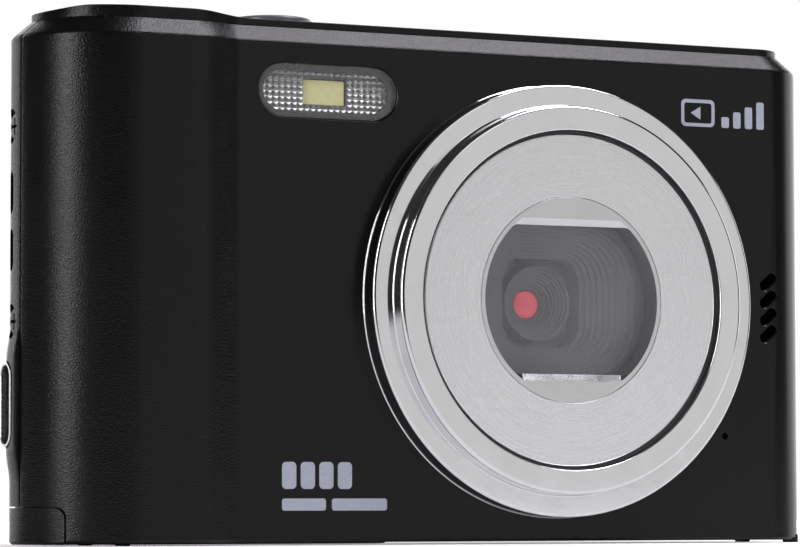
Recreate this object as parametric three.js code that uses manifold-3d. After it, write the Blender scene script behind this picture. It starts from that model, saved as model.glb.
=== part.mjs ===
// Compact digital camera with a fixed lens behind a flat window, built as its separate pieces.
// Millimetres, +Z up, front facing -Y. The origin is the middle of the whole camera's underside.
// Pieces are drawn in the casing's frame: x from its middle, y back from the front panel,
// z up from its bottom face.
import * as THREE from "three";
import { mergeVertices } from "three/addons/utils/BufferGeometryUtils.js";
import Module from "manifold-3d";

const wasm = await Module();
wasm.setup();

// ---- Driving dimensions, millimetres ----

// Casing
const bodyWidth = 94.6;
const casingHeight = 55.22; // bottom face to the covers' top
const casingDepth = 15.7; // front panel to back face
const seamDepth = 7.0; // front panel to the line where the two covers meet
const seamGap = 0.16;
const wall = 1.5;
const topWall = 1.3;
const frontChamfer = 1.27;
const endChamfer = 2.1;
const chamferHeight = 1.78;
const bottomBevel = 0.3;
const cornerRound = 6.0; // front corner at the right end
const backRound = 5.0; // back corner at the right end
const fit = 0.3; // gap that a fitted piece keeps to its neighbour

// Grip, at the left end
const gripProud = 1.35; // crest in front of the panel
const gripWidth = 22.17; // left end to the line where the grip meets the panel
const gripCrestStart = 10.57; // left end to the start of the flat crest
const gripCrestEnd = 16.57;
const gripWidestDepth = 8.5; // how far back the grip is widest
const gripBackSweep = 8.3; // width of the round from the grip's side to the back

// Top plate
const plateThickness = 0.78;
const plateReveal = 0.1; // plate's edge inside the top of the chamfer
const plateHump = 0.5; // extra height over the grip
const humpRise = [1.5, 6.0]; // left end to where the hump starts and stops rising
const humpFall = [16.5, 25.0]; // left end to where it starts and stops falling

// Lens surround
const lensFromRight = 34.03;
const lensHeight = 26.38;
const ringInnerRadius = 18.65;
const ringInnerBand = 2.7; // width of the raised band round the bore
const ringOuterBand = 2.45;
const ringOuterProud = 2.6; // outer band in front of the panel
const ringInnerProud = 4.4;
const ringSeat = 1.4; // disc's seat in front of the panel
const spigotWall = 2.4;
const spigotWider = 0.75; // spigot's outside beyond the ring's bore
const spigotLength = 2.7;
const discClearance = 0.45;
const discProud = 3.74;
const insertRadius = 11.3;
const insertClearance = 0.15;
const frameRim = 0.5; // narrowest width of the window's frame
const openingHalfHeight = 8.9;
const insertDepth = 2.8;
const windowThickness = 1.0;

// Lens module
const baffleDepth = 6.2;
const baffleHalfWidth = 12.6;
const baffleHalfHeight = 10.8;
const baffleSteps = 4;
const barrelRadius = 4.2;
const barrelStart = 4.2; // behind the front panel
const barrelLength = 5.2;
const elementRadius = 1.5;
const elementDepth = 6.8;
const holderHalf = 5.6;
const sensorThickness = 0.8;
const sensorHalf = 3.4;

// Boards and display
const boardThickness = 0.8;
const boardGap = 0.72; // main board to the display panel
const boardTopMargin = 4.22; // boards' upper edges below the covers' top
const displayFromRight = 4.6;
const displayFromLeft = 28.0;
const displayAbove = 4.31; // window's edge to the covers' top
const displayBelow = 4.91;
const displayBond = 0.15;
const displayThickness = 0.85;
const displayRecess = 0.08; // window's face below the back face
const panelThickness = 2.1;
const panelInset = 1.2;

// Flash
const flashFromLens = 27.84;
const flashFromTop = 6.87; // middle of the flash below the covers' top
const flashWidth = 16.3;
const flashTall = 5.75;
const flashThickness = 1.5;
const trayDepth = 2.2;
const ledWidth = 5.0;
const ledHeight = 2.75;

// Sound
const slotFromLens = 27.75;
const slotLength = 2.5;
const slotWidth = 1.1;
const slotRise = 40; // degrees
const slotPitch = 1.97;
const slotCount = 4;
const slotMiddle = 26.3; // height of the middle of the row
const speakerWidth = 6.6;
const speakerHeight = 14.0;
const speakerThickness = 3.0;
const micFromLens = 21.8;
const micHeight = 11.68;
const micHole = 0.4;
const micRadius = 2.0;

// Left side, in the rear cover
const sideLine = 2.9; // behind the seam
const bossProud = 0.4;
const bossReach = 8.2; // above and below the port's middle
const portHeight = 14.6; // above the bottom
const portLength = 9.0;
const portWidth = 3.2;
const portDepth = 5.4;
const portWall = 0.35;
const portProud = 0.1;
const strapMiddle = 34.0;
const strapSlot = 4.4;
const strapBar = 1.7;
const strapWidth = 1.7;
const screwHeights = [44.1, 23.4];
const screwRecessRadius = 1.85;
const screwRecess = 1.1;
const screwHeadRadius = 1.5;
const screwHead = 0.5;
const screwSeatGap = 0.06;
const screwShank = 0.7;

// Controls
const keyProud = 0.6;
const keyFlange = 0.55; // wider all round, behind the wall
const keyFlangeThick = 0.6;
const keyLift = 0.2; // flange to the wall
const keyGap = 0.25;
const padRadius = 8.3;
const padBore = 3.75;
const okClearance = 0.35; // middle key to the ring's bore
const padFromLeft = 17.0;
const padHeight = 24.0;
const smallKeyWidth = 6.6;
const smallKeyHeight = 3.8;
const keySpread = 5.3; // key's middle to the pad's middle line
const keyRows = { zoom: 47.2, mode: 38.2, menu: 9.4 };
const shutterFromLens = 31.3;
const shutterRadius = 4.6;
const shutterProud = 1.05;
const buttonDepth = 7.6; // behind the front panel
const shutterGap = 0.3;
const powerFromLens = 17.0;
const powerLength = 8.0;
const powerWidth = 3.0;
const powerProud = 0.45;

// Battery bay and its door
const batteryWidth = 28.4;
const batteryThickness = 5.4;
const batteryLength = 38.0;
const batteryFromLeft = 6.4;
const batteryFront = 2.5;
const batteryFloor = 3.3;
const cageWall = 0.8;
const doorReach = 41.5; // left end to the door's inner end
const doorCapWidth = 3.0;
const doorCapHeight = 3.7;
const doorCapRound = 1.1;
const doorThickness = 1.35;
const doorCrown = 0.15; // below the casing
const doorMargin = 1.3; // casing's front and back faces to the door's edges
const doorGap = 0.25;
const doorWall = 1.1;
const knuckleRadius = 0.85;
const pinRadius = 0.45;
const pinClearance = 0.08;
const armThickness = 0.8;
const armGap = 0.25;
const slideTravel = 3.5; // how far the door slides out before it swings
const neckMargin = 3.3; // casing's front and back faces to the neck that joins the cap to the tray
const doorFootFromEnd = 10.0;

// Underside
const footHeight = 0.3;
const footLength = 1.8;
const footWidth = 1.15;
const footFromEnd = 1.9;
const tripodFromLens = 6.33;
const tripodRadius = 4.6;
const tripodBore = 2.7;
const tripodDepth = 7.4;
const bottomScrewX = [2.5, 38.5];

// ---- Places worked out from the sizes ----

const leftEnd = -bodyWidth / 2;
const rightEnd = bodyWidth / 2;
const lensX = rightEnd - lensFromRight;
const ringStepRadius = ringInnerRadius + ringInnerBand;
const ringRadius = ringStepRadius + ringOuterBand;
const spigotRadius = ringInnerRadius + spigotWider;
const spigotBore = spigotRadius - spigotWall;
const discRadius = ringInnerRadius - discClearance;
const openingRadius = insertRadius - frameRim;
const flashHeight = casingHeight - flashFromTop;
const casingMiddle = casingDepth / 2;
const sideY = seamDepth + sideLine;
const rearStart = seamDepth + seamGap;
const innerBack = casingDepth - wall;
const windowBack = -discProud + insertDepth + windowThickness + 0.1;
const plateBottom = casingHeight + 0.06;
const plateTop = casingHeight + plateThickness;
const padX = leftEnd + padFromLeft;
const okRadius = padBore - okClearance;
const displayWidth = bodyWidth - displayFromRight - displayFromLeft;
const displayHeight = casingHeight - displayAbove - displayBelow;
const displayMiddle = rightEnd - displayFromRight - displayWidth / 2;
const displayCentreZ = displayBelow + displayHeight / 2;
const displayBack = casingDepth - displayRecess;
const panelBack = displayBack - displayThickness - displayBond;
const boardDepth = panelBack - panelThickness - boardGap - boardThickness; // behind the front panel
const boardTop = casingHeight - boardTopMargin;
const batteryLeft = leftEnd + batteryFromLeft;
const batteryRight = batteryLeft + batteryWidth;
const batteryBack = batteryFront + batteryThickness;
const cageLeft = batteryLeft - fit - cageWall;
const cageBack = batteryBack + fit;
const doorEnd = leftEnd + doorReach;
const pinX = doorEnd - knuckleRadius;
const pinZ = knuckleRadius - doorCrown;
const doorFront = doorMargin;
const doorBack = casingDepth - doorMargin;
const bottomScrewY = rearStart + 4.2;
const far = 200; // reaches past the camera in any direction
const ringSides = 56;

// ---- Shape helpers ----

function solidOf(geometry) {
  const plain = geometry.clone();
  plain.deleteAttribute("normal");
  if (plain.hasAttribute("uv")) plain.deleteAttribute("uv");
  const merged = mergeVertices(plain, 1e-4);
  const mesh = new wasm.Mesh({
    numProp: 3,
    vertProperties: merged.attributes.position.array,
    triVerts: new Uint32Array(merged.index.array),
  });
  return new wasm.Manifold(mesh);
}

function geometryOf(solid) {
  const mesh = solid.getMesh();
  const points = new Float32Array(mesh.numVert * 3);
  for (let i = 0; i < mesh.numVert; i++) {
    points.set(mesh.vertProperties.subarray(i * mesh.numProp, i * mesh.numProp + 3), i * 3);
  }
  const geometry = new THREE.BufferGeometry();
  geometry.setAttribute("position", new THREE.BufferAttribute(points, 3));
  geometry.setIndex(new THREE.BufferAttribute(new Uint32Array(mesh.triVerts), 1));
  geometry.computeVertexNormals();
  return geometry;
}

const joined = (...solids) => solids.reduce((whole, next) => whole.add(next));
const cut = (solid, ...tools) => tools.reduce((rest, tool) => rest.subtract(tool), solid);

// A box between two corners.
function box(x0, x1, y0, y1, z0, z1) {
  const shape = new THREE.BoxGeometry(x1 - x0, y1 - y0, z1 - z0);
  return solidOf(shape.translate((x0 + x1) / 2, (y0 + y1) / 2, (z0 + z1) / 2));
}

// A box given by its middle in x and z.
function block(x, z, width, height, y0, y1) {
  return box(x - width / 2, x + width / 2, y0, y1, z - height / 2, z + height / 2);
}

// A round bar along y, z or x, from one place on its axis to another.
function barY(x, z, radius, y0, y1, sides = 32) {
  const shape = new THREE.CylinderGeometry(radius, radius, y1 - y0, sides);
  return solidOf(shape.translate(x, (y0 + y1) / 2, z));
}

function barZ(x, y, radius, z0, z1, sides = 32) {
  const shape = new THREE.CylinderGeometry(radius, radius, z1 - z0, sides).rotateX(Math.PI / 2);
  return solidOf(shape.translate(x, y, (z0 + z1) / 2));
}

function barX(y, z, radius, x0, x1, sides = 24) {
  const shape = new THREE.CylinderGeometry(radius, radius, x1 - x0, sides).rotateZ(Math.PI / 2);
  return solidOf(shape.translate((x0 + x1) / 2, y, z));
}

// A closed profile of [radius, height] turned about an upright axis.
function turned(profile, sides) {
  const points = profile.map(([r, h]) => new THREE.Vector2(r, h));
  const area = THREE.ShapeUtils.area(points);
  if (area < 0) points.reverse();
  return new THREE.LatheGeometry([...points, points[0]], sides);
}

const turnedY = (profile, x, z, sides = ringSides) => solidOf(turned(profile, sides).translate(x, 0, z));

function turnedZ(profile, x, y, sides = 32) {
  const shape = turned(profile, sides).rotateX(Math.PI / 2);
  return solidOf(shape.translate(x, y, 0));
}

// An outline in the x-z plane, given a depth along y.
function plateY(outline, y0, y1, curveSegments = 12) {
  const options = { depth: y1 - y0, bevelEnabled: false, curveSegments };
  const shape = new THREE.ExtrudeGeometry(outline, options).rotateX(Math.PI / 2);
  return solidOf(shape.translate(0, y1, 0));
}

// An outline in the x-y plane, given a height along z.
function plateZ(outline, z0, z1, curveSegments = 12) {
  const options = { depth: z1 - z0, bevelEnabled: false, curveSegments };
  return solidOf(new THREE.ExtrudeGeometry(outline, options).translate(0, 0, z0));
}

// An outline in the y-z plane, given a width along x.
function plateX(outline, x0, x1, curveSegments = 12) {
  const options = { depth: x1 - x0, bevelEnabled: false, curveSegments };
  const shape = new THREE.ExtrudeGeometry(outline, options);
  const upright = new THREE.Matrix4().makeBasis(
    new THREE.Vector3(0, 1, 0),
    new THREE.Vector3(0, 0, 1),
    new THREE.Vector3(1, 0, 0),
  );
  return solidOf(shape.applyMatrix4(upright).translate(x0, 0, 0));
}

// A rectangle with round corners, centred at x, y.
function roundRect(x, y, width, height, radius) {
  const [w, h] = [width / 2 - radius, height / 2 - radius];
  const shape = new THREE.Shape();
  shape.absarc(x + w, y + h, radius, 0, Math.PI / 2);
  shape.absarc(x - w, y + h, radius, Math.PI / 2, Math.PI);
  shape.absarc(x - w, y - h, radius, Math.PI, Math.PI * 1.5);
  shape.absarc(x + w, y - h, radius, Math.PI * 1.5, Math.PI * 2);
  shape.closePath();
  return shape;
}

const pill = (x, y, width, height) => roundRect(x, y, width, height, Math.min(width, height) / 2 - 0.01);

// ---- The casing's outline and the solids that follow it ----

// The plan outline, anticlockwise from above: grip, panel, right end, back.
function planOutline() {
  const crestStart = leftEnd + gripCrestStart;
  const crestEnd = leftEnd + gripCrestEnd;
  const gripEnd = leftEnd + gripWidth;
  const shape = new THREE.Shape();
  shape.moveTo(leftEnd, gripWidestDepth);
  shape.bezierCurveTo(
    leftEnd, gripWidestDepth * 0.36,
    leftEnd + gripCrestStart * 0.45, -gripProud * 0.9,
    crestStart, -gripProud,
  );
  shape.lineTo(crestEnd, -gripProud);
  shape.bezierCurveTo(crestEnd + 2.4, -gripProud, gripEnd - 1.8, -0.12, gripEnd, 0);
  shape.lineTo(rightEnd - cornerRound, 0);
  shape.absarc(rightEnd - cornerRound, cornerRound, cornerRound, -Math.PI / 2, 0);
  shape.absarc(rightEnd - backRound, casingDepth - backRound, backRound, 0, Math.PI / 2);
  shape.lineTo(leftEnd + gripBackSweep, casingDepth);
  shape.absellipse(
    leftEnd + gripBackSweep,
    gripWidestDepth,
    gripBackSweep,
    casingDepth - gripWidestDepth,
    Math.PI / 2,
    Math.PI,
  );
  const points = shape.getPoints(6);
  return points.filter((point, i) => point.distanceTo(points.at(i - 1)) > 1e-3);
}

const outline = planOutline();

// The outline moved inwards, by different amounts at the ends and at the front and back.
function insetOutline(atEnds, atFaces) {
  return outline.map((point, i) => {
    const before = point.clone().sub(outline.at(i - 1)).normalize();
    const after = outline[(i + 1) % outline.length].clone().sub(point).normalize();
    const along = before.add(after).normalize();
    const corner = Math.sqrt((1 + after.dot(along)) / 2);
    return new THREE.Vector2(point.x - (along.y * atEnds) / corner, point.y + (along.x * atFaces) / corner);
  });
}

// A solid through rings of points that match one to one, with flat ends.
function loft(rings) {
  const count = rings[0].length;
  const triangles = [];
  rings.slice(1).forEach((upper, level) => {
    const lower = rings[level];
    for (let i = 0; i < count; i++) {
      const next = (i + 1) % count;
      triangles.push(lower[i], lower[next], upper[next], lower[i], upper[next], upper[i]);
    }
  });
  const ends = THREE.ShapeUtils.triangulateShape(rings[0].map((p) => new THREE.Vector2(p.x, p.y)), []);
  const top = rings.at(-1);
  for (const [a, b, c] of ends) {
    triangles.push(rings[0][c], rings[0][b], rings[0][a]);
    triangles.push(top[a], top[b], top[c]);
  }
  return solidOf(new THREE.BufferGeometry().setFromPoints(triangles));
}

const ringAt = (z, atEnds = 0, atFaces = atEnds) =>
  insetOutline(atEnds, atFaces).map((p) => new THREE.Vector3(p.x, p.y, z));

// How far the side swells out round the port, at one height and depth.
function bossAt(y, z) {
  const upDown = THREE.MathUtils.smoothstep(bossReach - Math.abs(z - portHeight), 0, 3.4);
  const across = THREE.MathUtils.smoothstep(5.2 - Math.abs(y - sideY), 0, 2.6);
  return bossProud * upDown * across;
}

// The whole casing as one solid, with its top chamfer and bottom bevel.
function casingSolid() {
  const edge = casingHeight - chamferHeight;
  return loft([
    ringAt(0, bottomBevel),
    ringAt(bottomBevel),
    ringAt(edge - 0.25),
    ringAt(edge + 0.12, 0.1, 0.06),
    ringAt(casingHeight, endChamfer, frontChamfer),
  ]);
}

// The swelling that stands on the left side round the port.
function bossSolid() {
  const rings = [];
  for (let step = -4; step <= 4; step++) {
    const z = portHeight + (bossReach * step) / 4;
    const ring = ringAt(z, 0.02);
    ring.forEach((p) => {
      if (p.x < leftEnd + 3) p.x -= bossAt(p.y, z);
    });
    rings.push(ring);
  }
  const front = box(-far, leftEnd + 3, rearStart, casingDepth - 2, -far, far);
  return loft(rings).intersect(front);
}

function casingHollow() {
  const roof = casingHeight - topWall;
  const slope = 1.2; // the roof's edge follows the chamfer
  return loft([ringAt(wall, wall), ringAt(roof - slope, wall), ringAt(roof, wall + slope)]);
}

// What the door takes out of the bottom left corner, grown by a gap.
function doorFace(gap) {
  const inner = leftEnd + doorCapWidth + gap;
  const top = doorCapHeight + gap;
  const shape = new THREE.Shape();
  shape.moveTo(-far, -far);
  shape.lineTo(inner, -far);
  shape.lineTo(inner, top - doorCapRound);
  shape.absarc(inner - doorCapRound, top - doorCapRound, doorCapRound, 0, Math.PI / 2);
  shape.lineTo(-far, top);
  return plateY(shape, -far, far, 6);
}

// A flat piece of the outline between the front and back margins, up to one place along x.
function insideOutline(inset, end, z0, z1) {
  const whole = loft([ringAt(z0, inset), ringAt(z1, inset)]);
  return whole.intersect(box(-far, end, inset, casingDepth - inset, -far, far));
}

const doorBay = () => insideOutline(doorMargin - doorGap, doorEnd + doorGap, -1, batteryFloor);

function foot(x, y) {
  return box(x - footWidth / 2, x + footWidth / 2, y - footLength / 2, y + footLength / 2, -footHeight, 0.6);
}

const frontFootY = doorMargin + 0.5 + footLength / 2;
const rearFootY = casingDepth - frontFootY;
const footX = rightEnd - footFromEnd;

// ---- Covers and top plate ----

function frontCover() {
  const shell = cut(casingSolid(), casingHollow(), box(-far, far, seamDepth, far, -far, far));
  const bored = cut(
    shell,
    barY(lensX, lensHeight, spigotRadius + fit / 2, -far, far, ringSides),
    plateY(pill(flashX, flashHeight, flashWidth + fit, flashTall + fit), -far, far, 6),
    barY(lensX + micFromLens, micHeight, micHole, -far, far, 16),
    ...speakerSlots(),
  );
  const open = cut(bored, doorFace(doorGap), doorBay(), ...topHoles(), ...tripodHole());
  return open.add(foot(footX, frontFootY));
}

function speakerSlots() {
  return Array.from({ length: slotCount }, (_, i) => {
    const height = slotMiddle + (i - (slotCount - 1) / 2) * slotPitch;
    const options = { depth: 20, bevelEnabled: false, curveSegments: 5 };
    const slot = new THREE.ExtrudeGeometry(pill(0, 0, slotLength, slotWidth), options);
    slot.translate(0, 0, -10).rotateZ(THREE.MathUtils.degToRad(slotRise)).rotateX(Math.PI / 2);
    return solidOf(slot.translate(lensX + slotFromLens, 0, height));
  });
}

const flashX = lensX - flashFromLens;
const shutterX = lensX - shutterFromLens;
const powerX = lensX - powerFromLens;

function topHoles() {
  return [
    barZ(shutterX, buttonDepth, shutterRadius + shutterGap, casingHeight - 4, far),
    plateZ(pill(powerX, buttonDepth, powerLength + fit * 2, powerWidth + fit * 2), casingHeight - 4, far, 6),
  ];
}

const tripodX = lensX + tripodFromLens;
const tripodHole = () => [barZ(tripodX, casingMiddle, tripodRadius + fit, -far, tripodDepth + fit, 24)];

function rearCover() {
  const whole = casingSolid().add(bossSolid());
  const shell = cut(whole, casingHollow(), box(-far, far, -far, rearStart, -far, far));
  const windowHole = roundRect(displayMiddle, displayCentreZ, displayWidth + 0.4, displayHeight + 0.4, 1.4);
  const cutouts = cut(
    shell,
    plateY(windowHole, innerBack - 1, far, 4),
    ...keyPlaces().map((key) => plateY(keyOutline(key, keyGap), innerBack - 1, far, keySides(key))),
    plateX(pill(sideY, portHeight, portWidth + fit, portLength + fit), -far, leftEnd + 4, 6),
    ...strapSlots(),
    ...screwHeights.flatMap((height) => sideScrewHole(height)),
    ...bottomScrewX.flatMap((x) => bottomScrewHole(x)),
  );
  const open = cut(cutouts, doorFace(doorGap), doorBay(), ...topHoles(), ...tripodHole());
  return open.add(foot(footX, rearFootY));
}

function strapSlots() {
  return [1, -1].map((side) => {
    const middle = strapMiddle + (side * (strapSlot + strapBar)) / 2;
    return plateX(pill(sideY, middle, strapWidth, strapSlot), -far, leftEnd + 3.2, 5);
  });
}

function sideScrewHole(height) {
  return [
    barX(sideY, height, screwRecessRadius, -far, leftEnd + screwRecess, 20),
    barX(sideY, height, screwShank + 0.15, -far, leftEnd + 4, 12),
  ];
}

function bottomScrewHole(x) {
  return [
    barZ(x, bottomScrewY, screwRecessRadius, -far, screwRecess, 20),
    barZ(x, bottomScrewY, screwShank + 0.15, -far, wall + 1, 12),
  ];
}

// Height of the plate's face above its own flat level, by distance from the left end.
function humpAt(fromLeft) {
  const rise = THREE.MathUtils.smoothstep(fromLeft, ...humpRise);
  const fall = THREE.MathUtils.smoothstep(fromLeft, ...humpFall);
  return plateHump * rise * (1 - fall);
}

function topPlate() {
  const blank = loft([
    ringAt(plateBottom, endChamfer + plateReveal, frontChamfer + plateReveal),
    ringAt(plateTop + plateHump + 1, endChamfer + plateReveal, frontChamfer + plateReveal),
  ]);
  const side = new THREE.Shape();
  side.moveTo(-far, -far);
  side.lineTo(far, -far);
  side.lineTo(far, plateTop);
  for (const [from, to] of [humpFall, humpRise]) {
    for (let step = 8; step >= 0; step--) {
      const fromLeft = THREE.MathUtils.lerp(from, to, step / 8);
      side.lineTo(leftEnd + fromLeft, plateTop + humpAt(fromLeft));
    }
  }
  side.lineTo(-far, plateTop);
  return cut(blank.intersect(plateY(side, -far, far)), ...topHoles());
}

// ---- Lens surround and window ----

function bezelRing() {
  const stepBack = ringOuterProud + 0.15;
  return turnedY(
    [
      [ringRadius, -0.05],
      [ringRadius, -ringOuterProud + 0.3],
      [ringRadius - 0.3, -ringOuterProud],
      [ringStepRadius + 0.15, -ringOuterProud],
      [ringStepRadius, -stepBack],
      [ringStepRadius - 0.1, -ringInnerProud + 0.35],
      [ringStepRadius - 0.45, -ringInnerProud],
      [ringInnerRadius, -ringInnerProud],
      [ringInnerRadius, -ringSeat],
      [spigotBore, -ringSeat],
      [spigotBore, spigotLength],
      [spigotRadius, spigotLength],
      [spigotRadius, -0.05],
    ],
    lensX,
    lensHeight,
  );
}

function lensDisc() {
  const bore = insertRadius + insertClearance;
  return turnedY(
    [
      [bore, -discProud],
      [discRadius, -discProud],
      [discRadius, -ringSeat - 0.1],
      [bore, -ringSeat - 0.1],
    ],
    lensX,
    lensHeight,
  );
}

// A circle with its top and bottom cut flat.
function flattedCircle(radius, halfHeight) {
  const reach = Math.asin(halfHeight / radius);
  const shape = new THREE.Shape();
  shape.absarc(lensX, lensHeight, radius, -reach, reach);
  shape.absarc(lensX, lensHeight, radius, Math.PI - reach, Math.PI + reach);
  shape.closePath();
  return shape;
}

function windowFrame() {
  const back = -discProud + insertDepth;
  const rim = barY(lensX, lensHeight, insertRadius, -discProud + 0.02, back, 48);
  return rim.subtract(plateY(flattedCircle(openingRadius, openingHalfHeight), -far, far, 12));
}

function lensWindow() {
  const front = -discProud + insertDepth + 0.1;
  return barY(lensX, lensHeight, insertRadius, front, front + windowThickness, 36);
}

// The stepped well between the window and the lens.
function lensBaffle() {
  const front = windowBack + 0.1;
  const back = baffleDepth;
  const flange = barY(lensX, lensHeight, spigotBore - fit, front, front + 1.2, 36);
  const body = block(lensX, lensHeight, baffleHalfWidth * 2, baffleHalfHeight * 2, front, back);
  const well = [];
  for (let step = 0; step < baffleSteps; step++) {
    const share = step / baffleSteps;
    const halfWidth = THREE.MathUtils.lerp(10.2, barrelRadius + 0.6, share);
    const halfHeight = THREE.MathUtils.lerp(8.4, barrelRadius + 0.5, share);
    const outlineHere = roundRect(lensX, lensHeight, halfWidth * 2, halfHeight * 2, halfHeight * 0.8);
    const depth = THREE.MathUtils.lerp(front, back, (step + 1) / baffleSteps);
    well.push(plateY(outlineHere, front - 1, step === baffleSteps - 1 ? back + 1 : depth, 4));
  }
  return cut(flange.add(body), ...well);
}

function lensBarrel() {
  const back = barrelStart + barrelLength;
  return turnedY(
    [
      [barrelRadius, barrelStart],
      [barrelRadius, back],
      [elementRadius + 0.2, back],
      [elementRadius + 0.2, elementDepth - 0.4],
      [barrelRadius - 1.6, elementDepth - 0.9],
      [barrelRadius - 0.4, barrelStart],
    ],
    lensX,
    lensHeight,
    32,
  );
}

function lensElement() {
  return turnedY(
    [
      [0, elementDepth - 0.25],
      [elementRadius * 0.6, elementDepth - 0.16],
      [elementRadius, elementDepth],
      [elementRadius, elementDepth + 1.2],
      [0, elementDepth + 1.2],
    ],
    lensX,
    lensHeight,
    20,
  );
}

function lensHolder() {
  const back = boardDepth - 0.15;
  const body = block(lensX, lensHeight, holderHalf * 2, holderHalf * 2, baffleDepth + fit, back);
  const seat = block(lensX, lensHeight, (sensorHalf + 0.6) * 2, (sensorHalf + 0.6) * 2, back - 1.4, back + 1);
  return cut(body, barY(lensX, lensHeight, barrelRadius + 0.15, 0, back - 1, 32), seat);
}

function imageSensor() {
  const back = boardDepth - 0.1;
  return block(lensX, lensHeight, sensorHalf * 2, sensorHalf * 2, back - sensorThickness, back);
}

// ---- Boards, chips and display ----

const boardLeft = batteryRight + cageWall + fit * 2;
const boardRight = rightEnd - 3.4;

function mainBoard() {
  const board = box(boardLeft, boardRight, boardDepth, boardDepth + boardThickness, 9.2, boardTop);
  const fixings = [
    barY(boardRight - 3, 13, 1.2, 0, far, 16),
    barY(boardLeft + 3, boardTop - 3, 1.2, 0, far, 16),
  ];
  return cut(board, ...fixings);
}

const processorChip = () => block(lensX - 15.5, 40.5, 9.5, 9.5, boardDepth - 1.1, boardDepth - 0.1);
const memoryChip = () => block(lensX + 16, 43, 10, 6.5, boardDepth - 1.0, boardDepth - 0.1);

function displayPanel() {
  const width = displayWidth - panelInset * 2;
  const height = displayHeight - panelInset * 2;
  return block(displayMiddle, displayCentreZ, width, height, panelBack - panelThickness, panelBack);
}

function displayWindow() {
  const face = roundRect(displayMiddle, displayCentreZ, displayWidth, displayHeight, 1.2);
  return plateY(face, displayBack - displayThickness, displayBack, 4);
}

const padFlangeTop = innerBack - 0.5; // leaves room for the ring's tilt
const padFlangeThick = 0.5;
const pivotGap = 0.2;
const pivotTop = padFlangeTop - padFlangeThick - pivotGap;
const pivotThickness = 0.18;
const domeGap = 0.1; // below the pivot
const domeHeight = 0.72; // a key's contact dome above the board's front
const keyBoardDepth = pivotTop - pivotThickness - domeGap - domeHeight;

// The board behind the keys, with a contact dome under each small key.
function keyBoard() {
  const board = box(leftEnd + 4.6, padX + 10.6, keyBoardDepth, keyBoardDepth + 0.6, 5, boardTop);
  return keyPlaces()
    .filter((key) => !key.ring)
    .map((key) => barY(key.x, key.z, 1.1, keyBoardDepth + 0.5, keyBoardDepth + domeHeight, 8))
    .reduce((whole, dome) => whole.add(dome), board);
}

// ---- Keys on the back ----

// Every opening in the back wall for a key: the ring and the middle key share one.
function keyPlaces() {
  const pair = (left, right, z) => [
    { name: left, x: padX - keySpread, z },
    { name: right, x: padX + keySpread, z },
  ];
  return [
    ...pair("zoom_in_key", "zoom_out_key", keyRows.zoom),
    ...pair("mode_key", "playback_key", keyRows.mode),
    ...pair("menu_key", "delete_key", keyRows.menu),
    { name: "direction_pad", x: padX, z: padHeight, ring: true },
  ];
}

function keyOutline(key, gap) {
  if (key.ring) return new THREE.Shape().absarc(key.x, key.z, padRadius + gap, 0, Math.PI * 2);
  return pill(key.x, key.z, smallKeyWidth + gap * 2, smallKeyHeight + gap * 2);
}

const keySides = (key) => (key.ring ? 15 : 4);
const flangeTop = innerBack - keyLift;

function smallKey(key) {
  const cap = plateY(keyOutline(key, 0), flangeTop - 0.1, casingDepth + keyProud, 4);
  const flange = plateY(keyOutline(key, keyFlange), flangeTop - keyFlangeThick, flangeTop, 3);
  return cap.add(flange);
}

function directionPad() {
  const face = casingDepth + keyProud;
  return turnedY(
    [
      [padBore, padFlangeTop - padFlangeThick],
      [padRadius + 0.5, padFlangeTop - padFlangeThick],
      [padRadius + 0.5, padFlangeTop],
      [padRadius, padFlangeTop],
      [padRadius, face - 0.3],
      [padRadius - 0.4, face],
      [padBore + 0.5, face - 0.25],
      [padBore, face - 0.5],
    ],
    padX,
    padHeight,
    30,
  );
}

// The springy disc that the ring rocks on, with a hole for the middle key's foot.
function padPivot() {
  const disc = barY(padX, padHeight, padBore + 0.8, pivotTop - pivotThickness, pivotTop, 24);
  return disc.subtract(barY(padX, padHeight, padBore, -far, far, 24));
}

function okKey() {
  const foot = padFlangeTop - padFlangeThick;
  return turnedY(
    [
      [0, foot],
      [okRadius, foot],
      [okRadius, casingDepth + keyProud - 0.45],
      [okRadius - 0.4, casingDepth + keyProud - 0.15],
      [0, casingDepth + keyProud],
    ],
    padX,
    padHeight,
    28,
  );
}

// ---- Buttons on the top ----

const buttonFlangeTop = casingHeight - topWall - 1.0;
const buttonFlangeThick = 0.6;

function shutterButton() {
  const top = plateTop + shutterProud;
  return turnedZ(
    [
      [0, buttonFlangeTop - buttonFlangeThick],
      [shutterRadius + 0.6, buttonFlangeTop - buttonFlangeThick],
      [shutterRadius + 0.6, buttonFlangeTop],
      [shutterRadius, buttonFlangeTop],
      [shutterRadius, top - 0.55],
      [shutterRadius - 0.3, top - 0.25],
      [shutterRadius - 1.4, top - 0.08],
      [0, top],
    ],
    shutterX,
    buttonDepth,
  );
}

function powerButton() {
  const base = buttonFlangeTop - buttonFlangeThick;
  const cap = plateZ(pill(powerX, buttonDepth, powerLength, powerWidth), base, plateTop + powerProud, 6);
  const flange = pill(powerX, buttonDepth, powerLength + 1.4, powerWidth + 1.4);
  return cap.add(plateZ(flange, base, buttonFlangeTop, 4));
}

const topBoardTop = buttonFlangeTop - 3.4;

function topBoard() {
  const left = shutterX - 5;
  const right = powerX + 5;
  return box(left, right, buttonDepth - 2.3, buttonDepth + 2.3, topBoardTop - 0.6, topBoardTop);
}

function topSwitch(x) {
  const half = 1.6;
  const bottom = topBoardTop + 0.1;
  const base = box(x - half, x + half, buttonDepth - half, buttonDepth + half, bottom, bottom + 0.8);
  return base.add(barZ(x, buttonDepth, 0.9, topBoardTop + 0.8, topBoardTop + 1.4, 20));
}

// ---- Flash ----

const flashWindow = () =>
  plateY(pill(flashX, flashHeight, flashWidth, flashTall), -0.08, flashThickness, 6);

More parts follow.
